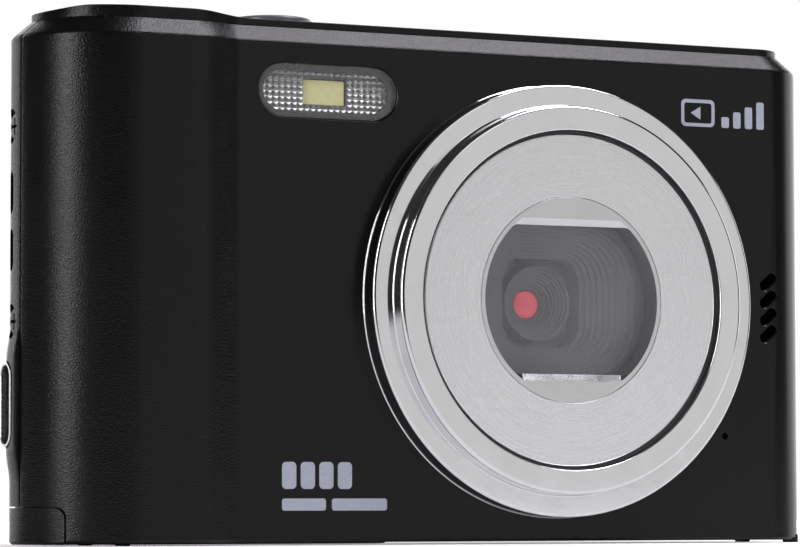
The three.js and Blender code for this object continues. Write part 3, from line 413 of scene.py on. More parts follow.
def makeMaterials():
    finish["shell"] = shellPlastic()
    finish["key"] = mouldedPlastic("blackKey", (0.016, 0.016, 0.018), (0.02, 0.02, 0.022),
                                   rough=(0.3, 0.4), grain=0.2, depth=0.01)
    finish["innerBlack"] = mouldedPlastic("innerBlack", (0.02, 0.02, 0.021), (0.026, 0.026, 0.027),
                                          rough=(0.5, 0.6), grain=0.5, depth=0.01)
    finish["baffle"] = mouldedPlastic("baffleGrey", (0.13, 0.13, 0.132), (0.16, 0.16, 0.163),
                                      rough=(0.45, 0.55), grain=0.3, depth=0.004)
    # the shutter button is dark; its light grey with a purple cast is painted light from the top lamp
    finish["shutter"] = mouldedPlastic("shutterPaintedLitGrey", (0.11, 0.105, 0.12), (0.13, 0.125, 0.14),
                                       rough=(0.22, 0.3), grain=0.3, depth=0.004)
    finish["chrome"] = metal("chrome", (0.70, 0.70, 0.71))
    finish["insert"] = metal("insertMetal", (0.60, 0.60, 0.61), (0.12, 0.2))
    finish["spun"] = spunMetal()
    finish["steel"] = metal("platedSteel", (0.56, 0.56, 0.57), (0.2, 0.32), grain=0.5, depth=0.004)
    finish["brass"] = metal("bushMetal", (0.62, 0.56, 0.44), (0.25, 0.36), grain=0.5, depth=0.004)
    finish["window"] = clearPlastic("clearWindow", (0.66, 0.66, 0.68), 0.11)
    finish["flashWindow"] = clearPlastic("flashWindow", (0.6, 0.6, 0.6), 0.06)
    finish["tray"] = metal("flashTray", (0.055, 0.055, 0.058), (0.2, 0.3), grain=0.3, depth=0.006)
    finish["dimples"] = metal("flashOptic", (0.26, 0.26, 0.255), (0.25, 0.35), grain=0.3, depth=0.01)
    finish["darkSteel"] = metal("blackedSteel", (0.035, 0.035, 0.037), (0.3, 0.4), grain=0.5, depth=0.004)
    finish["lamp"] = printedInk("lampPhosphor", (0.80, 0.76, 0.36))
    # red lens coating; its emission is a painted glow that makes the red dot brighter
    finish["lens"] = mouldedPlastic("lensCoatingWithPaintedGlow", (1.0, 0.05, 0.08), (1.0, 0.07, 0.10),
                                    rough=(0.08, 0.12), grain=2.0, depth=0.001)
    coatingWithPaintedGlow = finish["lens"].node_tree.nodes["Principled BSDF"]
    coatingWithPaintedGlow.inputs["Emission Color"].default_value = (1.0, 0.10, 0.17, 1)
    setSockets(coatingWithPaintedGlow, Emission_Strength=0.25)
    finish["board"] = circuitBoard()
    finish["mark"] = printedInk("markInk", (0.42, 0.45, 0.54))
    finish["keyMark"] = printedInk("keyMarkInk", (0.62, 0.63, 0.66))
    finish["glass"] = screenGlass()
    finish["wrap"] = mouldedPlastic("batteryWrap", (0.03, 0.045, 0.06), (0.04, 0.055, 0.07),
                                    rough=(0.35, 0.45), grain=0.8, depth=0.01)
    finish["label"] = printedInk("plainLabel", (0.62, 0.62, 0.62))
    finish["gold"] = metal("contactGold", (0.80, 0.62, 0.28), (0.2, 0.3), grain=0.5, depth=0.003)
    print("materials made")


# shapes are drawn flat in x and y, rising along z, then turned to rise along another axis
axisTurns = {
    "x": Matrix(((0, 0, 1), (1, 0, 0), (0, 1, 0))).to_4x4(),
    "y": Matrix(((1, 0, 0), (0, 0, 1), (0, 1, 0))).to_4x4(),
    "z": Matrix.Identity(4),
}


# centre is the place in the two other axes, in x, y, z order
def stand(bm, axis, centre, start=0.0, sign=1):
    bmesh.ops.scale(bm, vec=(1, 1, sign), verts=bm.verts[:])
    bmesh.ops.translate(bm, vec=(centre[0], centre[1], start), verts=bm.verts[:])
    bmesh.ops.transform(bm, matrix=axisTurns[axis], verts=bm.verts[:])
    bmesh.ops.recalc_face_normals(bm, faces=bm.faces[:])
    return bm


# raises faces straight up; a face on its own also stays behind as the other end
def pushOut(bm, faces, distance):
    inner = [f for f in faces if all(len(e.link_faces) > 1 for e in f.edges)]
    made = bmesh.ops.extrude_face_region(bm, geom=faces)["geom"]
    verts = [g for g in made if isinstance(g, bmesh.types.BMVert)]
    bmesh.ops.translate(bm, vec=(0, 0, distance), verts=verts)
    bmesh.ops.delete(bm, geom=inner, context="FACES_ONLY")
    return [g for g in made if isinstance(g, bmesh.types.BMFace)][0]


# a flat face with round corners, from a circle whose quarters are moved apart
def roundFace(bm, width, height, corner, segments=10):
    turn = Matrix.Rotation(math.pi / (segments * 4), 4, "Z")
    made = bmesh.ops.create_circle(bm, cap_ends=True, segments=segments * 4, radius=corner, matrix=turn)
    for vert in made["verts"]:
        vert.co.x += math.copysign(max(width / 2 - corner, 0), vert.co.x)
        vert.co.y += math.copysign(max(height / 2 - corner, 0), vert.co.y)
    face = made["verts"][0].link_faces[0]
    face.normal_update()
    return face


def edgesAt(bm, axis, value, slack=1e-3):
    return [e for e in bm.edges if all(abs(v.co[axis] - value) < slack for v in e.verts)]


# edges in a flat end that are shared with a wall
def rimAt(bm, axis, value):
    return [e for e in edgesAt(bm, axis, value)
            if len(e.link_faces) == 2 and e.calc_face_angle(0) > 0.5]


def roundOff(bm, edges, size, segments=3):
    bmesh.ops.bevel(bm, geom=edges, offset=size, segments=segments, profile=0.5,
                    affect="EDGES", material=-1, clamp_overlap=True)


# a rounded rectangle, pill or round bar from one place on an axis to another
def slab(axis, centre, width, height, corner, start, end, segments=10, soft=0.0, softStart=0.0):
    bm = bmesh.new()
    length = abs(end - start)
    pushOut(bm, [roundFace(bm, width, height, corner, segments)], length)
    bmesh.ops.recalc_face_normals(bm, faces=bm.faces[:])
    if soft:
        roundOff(bm, rimAt(bm, 2, length), soft)
    if softStart:
        roundOff(bm, rimAt(bm, 2, 0), softStart)
    return stand(bm, axis, centre, start, math.copysign(1, end - start))


def pill(axis, centre, width, height, start, end, **more):
    return slab(axis, centre, width, height, min(width, height) / 2 - 0.005, start, end, **more)


def bar(axis, centre, radius, start, end, sides=48, **more):
    return slab(axis, centre, radius * 2, radius * 2, radius, start, end, segments=sides // 4, **more)


# a cutter that is wider by flare where it meets a surface
def hole(axis, centre, width, height, corner, surface, end, flare=0.1, segments=10):
    bm = bmesh.new()
    over = 0.5
    sign = math.copysign(1, end - surface)
    face = roundFace(bm, width + (flare + over) * 2, height + (flare + over) * 2, corner + flare + over,
                     segments)
    if face.normal.z < 0:
        bmesh.ops.reverse_faces(bm, faces=[face])
    bmesh.ops.inset_region(bm, faces=[face], thickness=flare + over, depth=flare + over,
                           use_boundary=True, use_even_offset=True)
    bmesh.ops.holes_fill(bm, edges=edgesAt(bm, 2, 0), sides=0)
    pushOut(bm, [face], abs(end - surface) - flare)
    return stand(bm, axis, centre, surface - sign * over, sign)


def block(low, high, soft=0.0):
    bm = bmesh.new()
    bmesh.ops.create_cube(bm, size=1)
    size = Vector(high) - Vector(low)
    bmesh.ops.scale(bm, vec=size, verts=bm.verts[:])
    bmesh.ops.translate(bm, vec=Vector(low) + size / 2, verts=bm.verts[:])
    if soft:
        roundOff(bm, bm.edges[:], soft, 2)
    return bm


# corners are (radius, height, softness), and each soft corner is turned into a short curve
def softProfile(corners, steps=4):
    points = []
    for i, (r, h, soft) in enumerate(corners):
        here = Vector((r, h))
        if not soft:
            points.append(here)
            continue
        before = Vector(corners[i - 1][:2]) - here
        after = Vector(corners[(i + 1) % len(corners)][:2]) - here
        start = here + before.normalized() * min(soft, before.length * 0.49)
        end = here + after.normalized() * min(soft, after.length * 0.49)
        for step in range(steps + 1):
            t = step / steps
            points.append(start * (1 - t) ** 2 + here * (2 * t * (1 - t)) + end * t ** 2)
    return points


# turns a closed profile about an axis
def lathe(axis, centre, corners, steps=128, curveSteps=4):
    bm = bmesh.new()
    verts = [bm.verts.new((p.x, 0, p.y)) for p in softProfile(corners, curveSteps)]
    edges = [bm.edges.new(pair) for pair in zip(verts, verts[1:] + verts[:1])]
    bmesh.ops.spin(bm, geom=verts + edges, cent=(0, 0, 0), axis=(0, 0, 1),
                   angle=math.tau, steps=steps, use_merge=True)
    bmesh.ops.remove_doubles(bm, verts=bm.verts[:], dist=1e-4)
    loose = [e for e in bm.edges if not e.link_faces]
    bmesh.ops.delete(bm, geom=loose, context="EDGES")
    return stand(bm, axis, centre)


def toObject(bm, name="part"):
    mesh = bpy.data.meshes.new(name)
    bm.to_mesh(mesh)
    bm.free()
    made = bpy.data.objects.new(name, mesh)
    bpy.context.scene.collection.objects.link(made)
    return made


# cuts shapes out of a shape, or joins them to it
def combine(bm, tools, operation="DIFFERENCE"):
    base = toObject(bm)
    cutters = [toObject(tool, "tool") for tool in tools]
    for cutter in cutters:
        change = base.modifiers.new("combine", "BOOLEAN")
        change.operation = operation
        change.solver = "EXACT"
        change.object = cutter
    graph = bpy.context.evaluated_depsgraph_get()
    result = bmesh.new()
    result.from_mesh(base.evaluated_get(graph).to_mesh())
    for spare in [base, *cutters]:
        data = spare.data
        bpy.data.objects.remove(spare)
        bpy.data.meshes.remove(data)
    bmesh.ops.remove_doubles(result, verts=result.verts[:], dist=2e-4)
    bmesh.ops.dissolve_degenerate(result, edges=result.edges[:], dist=1e-4)
    return result


# puts several closed shapes in one mesh
def together(*shapes):
    whole = bmesh.new()
    for shape in shapes:
        mesh = bpy.data.meshes.new("shape")
        shape.to_mesh(mesh)
        shape.free()
        whole.from_mesh(mesh)
        bpy.data.meshes.remove(mesh)
    return whole


# brings a drawn shape to its place in the row frame and makes it a piece of the camera
def settle(bm, name, body, material, stands=(), sharp=32, soften=0.0, segments=2):
    bmesh.ops.translate(bm, vec=drawingOrigin, verts=bm.verts[:])
    bmesh.ops.scale(bm, vec=(mm, mm, mm), verts=bm.verts[:])
    piece = toObject(bm, name)
    piece.data.materials.append(finish[material])
    piece.data.shade_smooth()
    piece.data.set_sharp_from_angle(angle=math.radians(sharp))
    if soften:
        bevel = piece.modifiers.new("softEdges", "BEVEL")
        bevel.width = soften * mm
        bevel.segments = segments
        bevel.limit_method = "ANGLE"
        bevel.angle_limit = math.radians(sharp + 3)
        bevel.use_clamp_overlap = True
    weighted = piece.modifiers.new("faceNormals", "WEIGHTED_NORMAL")
    weighted.keep_sharp = True
    weighted.weight = 100
    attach(piece, body)
    if stands:
        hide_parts(*stands)
    return piece


def arcPoints(x, y, radiusX, radiusY, start, end, steps):
    turns = [math.radians(start + (end - start) * i / steps) for i in range(steps + 1)]
    return [Vector((x + radiusX * math.cos(t), y + radiusY * math.sin(t), 0)) for t in turns]


# the outline seen from above, anticlockwise: grip, panel, right end, back
def planPoints(steps=24):
    widest = grip["widestDepth"]
    proud = -grip["proud"]
    crestStart = leftEnd + grip["crestStart"]
    crestEnd = leftEnd + grip["crestEnd"]
    gripEnd = leftEnd + grip["width"]
    corner = casing["cornerRound"]
    back = casing["backRound"]
    points = list(interpolate_bezier(
        (leftEnd, widest, 0), (leftEnd, widest * 0.36, 0),
        (leftEnd + grip["crestStart"] * 0.45, proud * 0.9, 0), (crestStart, proud, 0), steps))
    points += interpolate_bezier(
        (crestEnd, proud, 0), (crestEnd + 2.4, proud, 0),
        (gripEnd - 2.2, -0.5, 0), (gripEnd, 0, 0), steps)
    points += arcPoints(rightEnd - corner, corner, corner, corner, -90, 0, steps // 2)
    points += arcPoints(rightEnd - back, backFace - back, back, back, 0, 90, steps // 2)
    points += arcPoints(leftEnd + grip["backSweep"], widest, grip["backSweep"], backFace - widest, 90, 180,
                        steps)
    return points[:-1]


# the outline as one face, drawn in at the ends and at the front and back
def planFace(bm, height, atEnds=0.0, atFaces=None):
    face = bm.faces.new([bm.verts.new((p.x, p.y, height)) for p in planPoints()])
    atFaces = atEnds if atFaces is None else atFaces
    face.normal_update()
    if atFaces:
        rim = bmesh.ops.inset_region(bm, faces=[face], thickness=atFaces, depth=0,
                                     use_boundary=True, use_even_offset=True)
        bmesh.ops.delete(bm, geom=rim["faces"], context="FACES")
        drawIn(bm, face, atEnds - atFaces)
    return face


def drawIn(bm, face, extra):
    reach = max(v.co.x for v in face.verts)
    bmesh.ops.scale(bm, vec=(1 - extra / reach, 1, 1), verts=face.verts[:])


def planSolid(low, high, atEnds=0.0, atFaces=None):
    bm = bmesh.new()
    pushOut(bm, [planFace(bm, low, atEnds, atFaces)], high - low)
    bmesh.ops.recalc_face_normals(bm, faces=bm.faces[:])
    return bm


def faceAt(bm, height):
    return next(f for f in bm.faces
                if abs(f.calc_center_median().z - height) < 1e-3 and abs(f.normal.z) > 0.9)


# the whole casing as one solid, with its top chamfer and bottom bevel
def casingShape():
    edge = casing["height"] - casing["chamferHeight"]
    bevel = casing["bottomBevel"]
    bm = planSolid(bevel, edge)
    bm.normal_update()
    top, bottom = faceAt(bm, edge), faceAt(bm, bevel)
    bmesh.ops.inset_region(bm, faces=[top], thickness=casing["frontChamfer"],
                           depth=casing["chamferHeight"], use_even_offset=True)
    drawIn(bm, top, casing["endChamfer"] - casing["frontChamfer"])
    bmesh.ops.inset_region(bm, faces=[bottom], thickness=bevel, depth=bevel, use_even_offset=True)
    roundOff(bm, edgesAt(bm, 2, edge), casing["chamferSoft"])
    roundOff(bm, edgesAt(bm, 2, casing["height"]), casing["edgeSoft"], 2)
    return bm


def casingHollow():
    wall = casing["wall"]
    top = casing["height"] - casing["topWall"]
    bm = planSolid(wall, top - 1.2, wall)
    bm.normal_update()
    bmesh.ops.inset_region(bm, faces=[faceAt(bm, top - 1.2)], thickness=1.2, depth=1.2, use_even_offset=True)
    return bm


# keeps what lies on one side of an upright plane facing along y, and closes the cut
def splitAt(bm, y, keepFront):
    bmesh.ops.bisect_plane(bm, geom=bm.verts[:] + bm.edges[:] + bm.faces[:], plane_co=(0, y, 0),
                           plane_no=(0, 1, 0), clear_outer=keepFront, clear_inner=not keepFront)
    bmesh.ops.holes_fill(bm, edges=edgesAt(bm, 1, y), sides=0)
    bmesh.ops.recalc_face_normals(bm, faces=bm.faces[:])


door = {
    "reach": 41.5,         # left end to the door's inner end
    "capWidth": 3.0,
    "capHeight": 3.7,
    "capRound": 1.1,
    "thickness": 1.35,
    "crown": 0.15,
    "margin": 1.3,
    "gap": 0.16,
    "wall": 1.1,
    "knuckle": 0.85,
    "pin": 0.53,
    "armThickness": 0.8,
    "armGap": 0.25,
    "bayFloor": 3.3,
    "lipInset": 0.6,       # casing's outside to the lip behind the gap
    "lipEnd": 3.45,
    "rebate": (0.45, 3.33),  # inset and height of the cap's step under the lip
    "slide": 3.5,
    "neck": 3.3,           # casing's faces to the neck between cap and tray
    "footFromEnd": 10.0,
}
foot = {"length": 1.8, "width": 1.15, "height": casing["footHeight"], "fromEnd": 1.9, "soft": 0.12}
shutter = {
    "radius": 4.6,
    "gap": 0.3,
    "flange": 0.6,
    "flangeThick": 0.6,
    "edge": 0.32,
    "brow": 1.4,           # in from the rim, where the dome begins
    "browDrop": 0.05,
}
power = {
    "length": 8.0,
    "width": 3.0,
    "gap": 0.3,
    "flange": 0.7,
    "flangeThick": 0.6,
    "soft": 0.25,
    "dot": 0.32,
}
tripod = {"radius": 4.6, "bore": 2.7, "depth": 7.4, "gap": 0.3, "threads": 9}
screws = {"recessRadius": 1.85, "recess": 1.1, "headRadius": 1.5, "head": 0.5, "shank": 0.7}

doorEnd = leftEnd + door["reach"]
frontFootY = door["margin"] + 0.5 + foot["length"] / 2
rearFootY = backFace - frontFootY
buttonY = middleOf("shutter_button").y
shutterX = middleOf("shutter_button").x
powerX = middleOf("power_button").x
tripodX = middleOf("tripod_bush").x
flashMiddle = middleOf("flash_window")


def doorCorner(gap):
    inner = leftEnd + door["capWidth"] + gap
    top = door["capHeight"] + gap
    return slab("y", (inner - 20, top - 20), 40, 40, door["capRound"], -5, 22)


# the corner's opening, less a thin lip that closes the view through the gap
def doorMouth():
    lip = planSolid(door["lipEnd"], 5.0, door["lipInset"])
    return combine(doorCorner(door["gap"]), [lip])


# a flat piece of the outline between the front and back margins, up to one place along x
def insideOutline(inset, end, low, high):
    room = block((leftEnd - 10, inset, low - 1), (end, backFace - inset, high + 1))
    return combine(planSolid(low, high, inset), [room], "INTERSECT")


def doorBay():
    return insideOutline(door["margin"] - door["gap"], doorEnd + door["gap"], -1, door["bayFloor"])


def topHoles(surface, flare=0.06):
    radius = shutter["radius"] + shutter["gap"]
    width = power["length"] + power["gap"] * 2
    height = power["width"] + power["gap"] * 2
    return [
        hole("z", (shutterX, buttonY), radius * 2, radius * 2, radius, surface, surface - 5, flare, 16),
        hole("z", (powerX, buttonY), width, height, height / 2 - 0.005, surface, surface - 5, flare),
    ]


def tripodHole():
    radius = tripod["radius"] + tripod["gap"]
    return hole("z", (tripodX, middleY), radius * 2, radius * 2, radius, 0, tripod["depth"] + 0.3, 0.1, 14)


def footBlock(x, y):
    length, width = foot["length"], foot["width"]
    return slab("z", (x, y), width, length, 0.25, 0.6, -foot["height"], segments=4, soft=foot["soft"])


speaker = {"fromLens": 27.75, "length": 2.5, "width": 1.1, "rise": 40, "pitch": 1.97, "count": 4,
           "middle": 26.3}
mic = {"fromLens": 21.8, "height": 11.68, "radius": 0.4}


def speakerSlots():
    slots = []
    for i in range(speaker["count"]):
        z = speaker["middle"] + (i - (speaker["count"] - 1) / 2) * speaker["pitch"]
        slot = hole("y", (0, 0), speaker["length"], speaker["width"], speaker["width"] / 2 - 0.005, 0, 5,
                    0.12, 8)
        bmesh.ops.rotate(slot, cent=(0, 0, 0), matrix=Matrix.Rotation(-math.radians(speaker["rise"]), 3, "Y"),
                         verts=slot.verts[:])
        bmesh.ops.translate(slot, vec=(lensX + speaker["fromLens"], 0, z), verts=slot.verts[:])
        slots.append(slot)
    return slots


def makeFrontCover():
    bm = casingShape()
    splitAt(bm, casing["seam"], True)
    roundOff(bm, rimAt(bm, 1, casing["seam"]), casing["edgeSoft"], 2)
    flashLow, flashHigh = drawn("flash_window")
    flashSize = flashHigh - flashLow
    tools = [
        casingHollow(),
        bar("y", (lensX, lensZ), 19.55, -5, 15, sides=96),
        hole("y", (flashMiddle.x, flashMiddle.z), flashSize.x + 0.3, flashSize.z + 0.3,
             flashSize.z / 2 + 0.14, 0, 8, 0.06, 14),
        bar("y", (lensX + mic["fromLens"], mic["height"]), mic["radius"], -1, 5, sides=20),
        *speakerSlots(),
        doorMouth(),
        doorBay(),
        *topHoles(casing["height"]),
        tripodHole(),
    ]
    body = combine(bm, tools)
    settle(together(body, footBlock(rightEnd - foot["fromEnd"], frontFootY)), "frontShell", "casing", "shell",
           ["front_cover"])
    print("front shell made")


port = {"height": 14.6, "length": 9.0, "width": 3.2, "proud": 0.1, "depth": 5.4, "wall": 0.35}
boss = {"proud": 0.4, "reach": 8.2, "blendUp": 3.4, "blendAcross": 2.6, "across": 5.2}
strap = {"middle": 34.0, "slot": 4.4, "bar": 1.7, "width": 1.7}


def smoothStep(value, low, high):
    t = min(max((value - low) / (high - low), 0), 1)
    return t * t * (3 - 2 * t)


# how far the side swells out round the port
def bossAt(y, z):
    upDown = smoothStep(boss["reach"] - abs(z - port["height"]), 0, boss["blendUp"])
    across = smoothStep(boss["across"] - abs(y - sideY), 0, boss["blendAcross"])
    return boss["proud"] * upDown * across


def swellSide(bm):
    for i in range(-14, 15):
        near = [f for f in bm.faces if f.calc_center_median().x < leftEnd + 6]
        geom = near + list({e for f in near for e in f.edges}) + list({v for f in near for v in f.verts})
        z = port["height"] + boss["reach"] * i / 14
        bmesh.ops.bisect_plane(bm, geom=geom, plane_co=(0, 0, z), plane_no=(0, 0, 1))
    for vert in bm.verts:
        if vert.co.x < leftEnd + 3:
            vert.co.x -= bossAt(vert.co.y, vert.co.z)


keys = {
    "width": 6.6,
    "height": 3.8,
    "proud": 0.6,
    "gap": 0.25,
    "top": 0.22,           # softness of the face's edge
    "padRadius": 8.3,
    "padBore": 3.75,
    "okRadius": 3.4,
}
keyNodes = {
    "zoom_in_key": "zoom_in",
    "zoom_out_key": "zoom_out",
    "mode_key": "mode",
    "playback_key": "playback",
    "menu_key": "menu",
    "delete_key": "delete",
}
screenLow, screenHigh = drawn("display_window")
padMiddle = middleOf("direction_pad")


def screwHole(axis, centre, surface, inward):
    radius = screws["recessRadius"]
    return [
        hole(axis, centre, radius * 2, radius * 2, radius, surface, surface + inward * screws["recess"],
             0.1, 8),
        bar(axis, centre, screws["shank"] + 0.15, surface, surface + inward * 4, sides=24),
    ]


def makeRearCover():
    bm = casingShape()
    splitAt(bm, rearStart, False)
    swellSide(bm)
    roundOff(bm, rimAt(bm, 1, rearStart), casing["edgeSoft"], 2)
    screen = screenHigh - screenLow
    screenMiddle = (screenLow + screenHigh) / 2
    gap = keys["gap"]
    tools = [
        casingHollow(),
        hole("y", (screenMiddle.x, screenMiddle.z), screen.x + 0.4, screen.z + 0.4, 1.4, backFace,
             backFace - 4, 0.1),
        hole("y", (padMiddle.x, padMiddle.z), (keys["padRadius"] + gap) * 2, (keys["padRadius"] + gap) * 2,
             keys["padRadius"] + gap, backFace, backFace - 4, 0.12, 20),
        pill("x", (sideY, port["height"]), port["width"] + 0.3, port["length"] + 0.3, leftEnd - 5,
             leftEnd + 4),
        doorMouth(),
        doorBay(),
        *topHoles(casing["height"]),
        tripodHole(),
    ]
    for node in keyNodes:
        at = middleOf(node)
        height = keys["height"] + gap * 2
        tools.append(hole("y", (at.x, at.z), keys["width"] + gap * 2, height, height / 2 - 0.005,
                          backFace, backFace - 4, 0.12))
    for side in (1, -1):
        z = strap["middle"] + side * (strap["slot"] + strap["bar"]) / 2
        tools.append(hole("x", (sideY, z), strap["width"], strap["slot"], strap["width"] / 2 - 0.005,
                          leftEnd, leftEnd + 3.2, 0.18))
    for node in ("side_screw_upper", "side_screw_lower"):
        at = middleOf(node)
        tools += screwHole("x", (at.y, at.z), leftEnd, 1)
    for node in ("bottom_screw_middle", "bottom_screw_right"):
        at = middleOf(node)
        tools += screwHole("z", (at.x, at.y), 0, 1)
    body = combine(bm, tools)
    settle(together(body, footBlock(rightEnd - foot["fromEnd"], rearFootY)), "rearShell", "casing", "shell",
           ["rear_cover"])
    print("rear shell made")


plate = {
    "thickness": 0.78,
    "lift": 0.06,
    "reveal": 0.1,
    "hump": 0.5,
    "rise": (1.5, 6.0),    # left end to where the hump starts and stops rising
    "fall": (16.5, 25.0),
    "soft": 0.1,
}
plateTop = casing["height"] + plate["thickness"]


def humpAt(x):
    rise = smoothStep(x - leftEnd, *plate["rise"])
    return plate["hump"] * rise * (1 - smoothStep(x - leftEnd, *plate["fall"]))


def makeTopPlate():
    low = casing["height"] + plate["lift"]
    bm = planSolid(low, plateTop, casing["endChamfer"] + plate["reveal"],
                   casing["frontChamfer"] + plate["reveal"])
    roundOff(bm, rimAt(bm, 2, plateTop), plate["soft"], 3)
    for start, end in (plate["rise"], plate["fall"]):
        for i in range(17):
            x = leftEnd + start + (end - start) * i / 16
            bmesh.ops.bisect_plane(bm, geom=bm.verts[:] + bm.edges[:] + bm.faces[:],
                                   plane_co=(x, 0, 0), plane_no=(1, 0, 0))
    for vert in bm.verts:
        if vert.co.z > low + 0.1:
            vert.co.z += humpAt(vert.co.x)
    holes = topHoles(plateTop, 0.12)
    settle(combine(bm, holes), "topPlate", "casing", "shell", ["top_plate"])
    print("top plate made")


ring = {
    "radius": 23.8,
    "step": 21.35,
    "inner": 18.65,
    "outerProud": 2.6,
    "seat": 1.4,
    "spigot": 19.4,
    "spigotLength": 2.7,
    "bore": 17.0,
}


def makeRing():
    profile = [
        (ring["radius"] + 0.12, -0.05, 0),
        (ring["radius"] + 0.12, -0.28, 0.05),
        (ring["radius"], -0.36, 0.05),
        (ring["radius"], -ring["outerProud"], 0.34),
        (ring["step"] + 0.16, -ring["outerProud"], 0.06),
        (ring["step"] + 0.08, -ring["outerProud"] - 0.12, 0.05),
        (ring["step"] - 0.02, -ringProud, 0.4),
        (ring["inner"], -ringProud, 0.14),
        (ring["inner"], -ring["seat"], 0),
        (ring["bore"], -ring["seat"], 0),
        (ring["bore"], ring["spigotLength"], 0),
        (ring["spigot"], ring["spigotLength"], 0),
        (ring["spigot"], -0.05, 0),
    ]
    settle(lathe("y", (lensX, lensZ), profile, 192, 6), "lensRing", "casing", "chrome", ["bezel_ring"])
    print("lens ring made")


disc = {"radius": 18.2, "proud": 3.74, "bore": 11.34, "back": 1.5, "paintedShade": 0.14}


def makeDisc():
    profile = [
        (disc["bore"], -disc["proud"], 0.04),
        (disc["radius"], -disc["proud"], 0.16),
        (disc["radius"], -disc["back"], 0),
        (disc["bore"], -disc["back"], 0),
    ]
    settle(lathe("y", (lensX, lensZ), profile, 192), "frontDisc", "casing", "spun", ["lens_disc"])
    # a black ring filling the gap between the disc and the lens ring: painted shade standing in for the gap's
    # shadow
    paintedShade = [
        (disc["radius"] + 0.02, -disc["proud"] + disc["paintedShade"], 0.05),
        (ring["inner"] - 0.02, -disc["proud"] + disc["paintedShade"], 0.05),
        (ring["inner"] - 0.02, -disc["back"], 0),
        (disc["radius"] + 0.02, -disc["back"], 0),
    ]
    settle(lathe("y", (lensX, lensZ), paintedShade, 192), "paintedGapShade", "casing", "innerBlack")


insert = {
    "radius": 11.3,
    "opening": 10.8,
    "halfHeight": 8.9,
    "depth": 2.8,
    "corner": 0.7,
    "slope": 0.35,         # depth of the sloping faces above and below the opening
    "throatHalfHeight": 8.15,
}


# a circle with its top and bottom cut flat, as a cutter that grows lower towards its end
def flattedCutter(radius, halfHeight, endHalfHeight, start, end):
    bm = bar("y", (lensX, lensZ), radius, start, end, sides=96)
    flats = block((lensX - 30, start - 5, lensZ - halfHeight), (lensX + 30, end + 5, lensZ + halfHeight))
    cut = combine(bm, [flats], "INTERSECT")
    corners = [e for e in cut.edges
               if abs(e.verts[0].co.y - e.verts[1].co.y) > 1
               and abs(abs(e.verts[0].co.z - lensZ) - halfHeight) < 1e-2
               and e.calc_face_angle(0) > 0.4]
    roundOff(cut, corners, insert["corner"], 6)
    back = [v for v in cut.verts if abs(v.co.y - end) < 1e-3]
    bmesh.ops.scale(cut, vec=(1, 1, endHalfHeight / halfHeight),
                    space=Matrix.Translation((-lensX, 0, -lensZ)),
                    verts=back)
    return cut


def makeWindowFrame():
    front = -disc["proud"] + 0.02
    rim = bar("y", (lensX, lensZ), insert["radius"], front, front + insert["depth"] - 0.02, sides=128,
              softStart=0.05)
    low, high = insert["throatHalfHeight"], insert["halfHeight"]
    throat = flattedCutter(insert["opening"], low, low, front - 0.01, front + insert["depth"] + 0.05)
    slopes = flattedCutter(insert["opening"] - 0.001, high, low, front - 0.01, front + insert["slope"])
    body = combine(rim, [throat, slopes])
    body.normal_update()
    lip = [e for e in edgesAt(body, 1, front, 5e-3) if (e.verts[0].co.xz - Vector((lensX, lensZ))).length
           < insert["opening"] + 0.05 and e.calc_face_angle(0) > 0.5]
    roundOff(body, lip, 0.12, 3)
    settle(body, "windowRim", "casing", "insert", ["window_frame"])


def makeWindow():
    low, high = drawn("lens_window")
    settle(bar("y", (lensX, lensZ), insert["radius"], low.y, high.y, sides=96, soft=0.06, softStart=0.06),
           "clearWindow", "casing", "window", ["lens_window"])


well = {
    "steps": 9,
    "halfWidth": 10.2,
    "halfHeight": 8.4,
    "endHalf": 4.9,
    "corner": 6.6,
    "rise": 0.34,
    "flangeRadius": 16.7,
    "flangeThick": 1.2,
    "body": (25.2, 21.6),
    "floorSide": 11.4,
}


def makeBaffle():
    low, high = drawn("lens_baffle")
    flange = bar("y", (lensX, lensZ), well["flangeRadius"], low.y, low.y + well["flangeThick"], sides=72)
    width, height = well["body"]
    body = slab("y", (lensX, lensZ), width, height, 1.0, low.y, high.y, segments=4)
    cutter = bmesh.new()
    face = roundFace(cutter, well["halfWidth"] * 2, well["halfHeight"] * 2, well["corner"], 14)
    face = pushOut(cutter, [face], 1.0)
    steps = well["steps"]
    shrink = (well["halfHeight"] - well["endHalf"]) / steps
    sideShrink = (well["halfWidth"] - well["endHalf"]) / steps
    for _ in range(steps):
        face = pushOut(cutter, [face], well["rise"])
        cutter.normal_update()
        bmesh.ops.inset_region(cutter, faces=[face], thickness=shrink, depth=0.0, use_even_offset=True)
        reach = max(v.co.x for v in face.verts)
        bmesh.ops.scale(cutter, vec=(1 - (sideShrink - shrink) / reach, 1, 1), verts=face.verts[:])
    pushOut(cutter, [face], 8)
    stand(cutter, "y", (lensX, lensZ), low.y - 1.0)
    side = well["floorSide"]
    floor = slab("y", (lensX, lensZ), side, side, 1.0, high.y - 0.02, high.y + 0.2, segments=4)
    mouth = bar("y", (lensX, lensZ), barrel["radius"] + 0.06, high.y - 1, high.y + 1)
    whole = combine(combine(body, [flange], "UNION"), [cutter])
    whole = combine(combine(whole, [floor], "UNION"), [mouth])
    settle(whole, "baffleWell", "casing", "baffle", ["lens_baffle"])


barrel = {"radius": 4.2, "start": 4.2, "length": 5.2, "mouth": 3.8, "throat": 1.72, "floor": 6.5, "rings": 7}


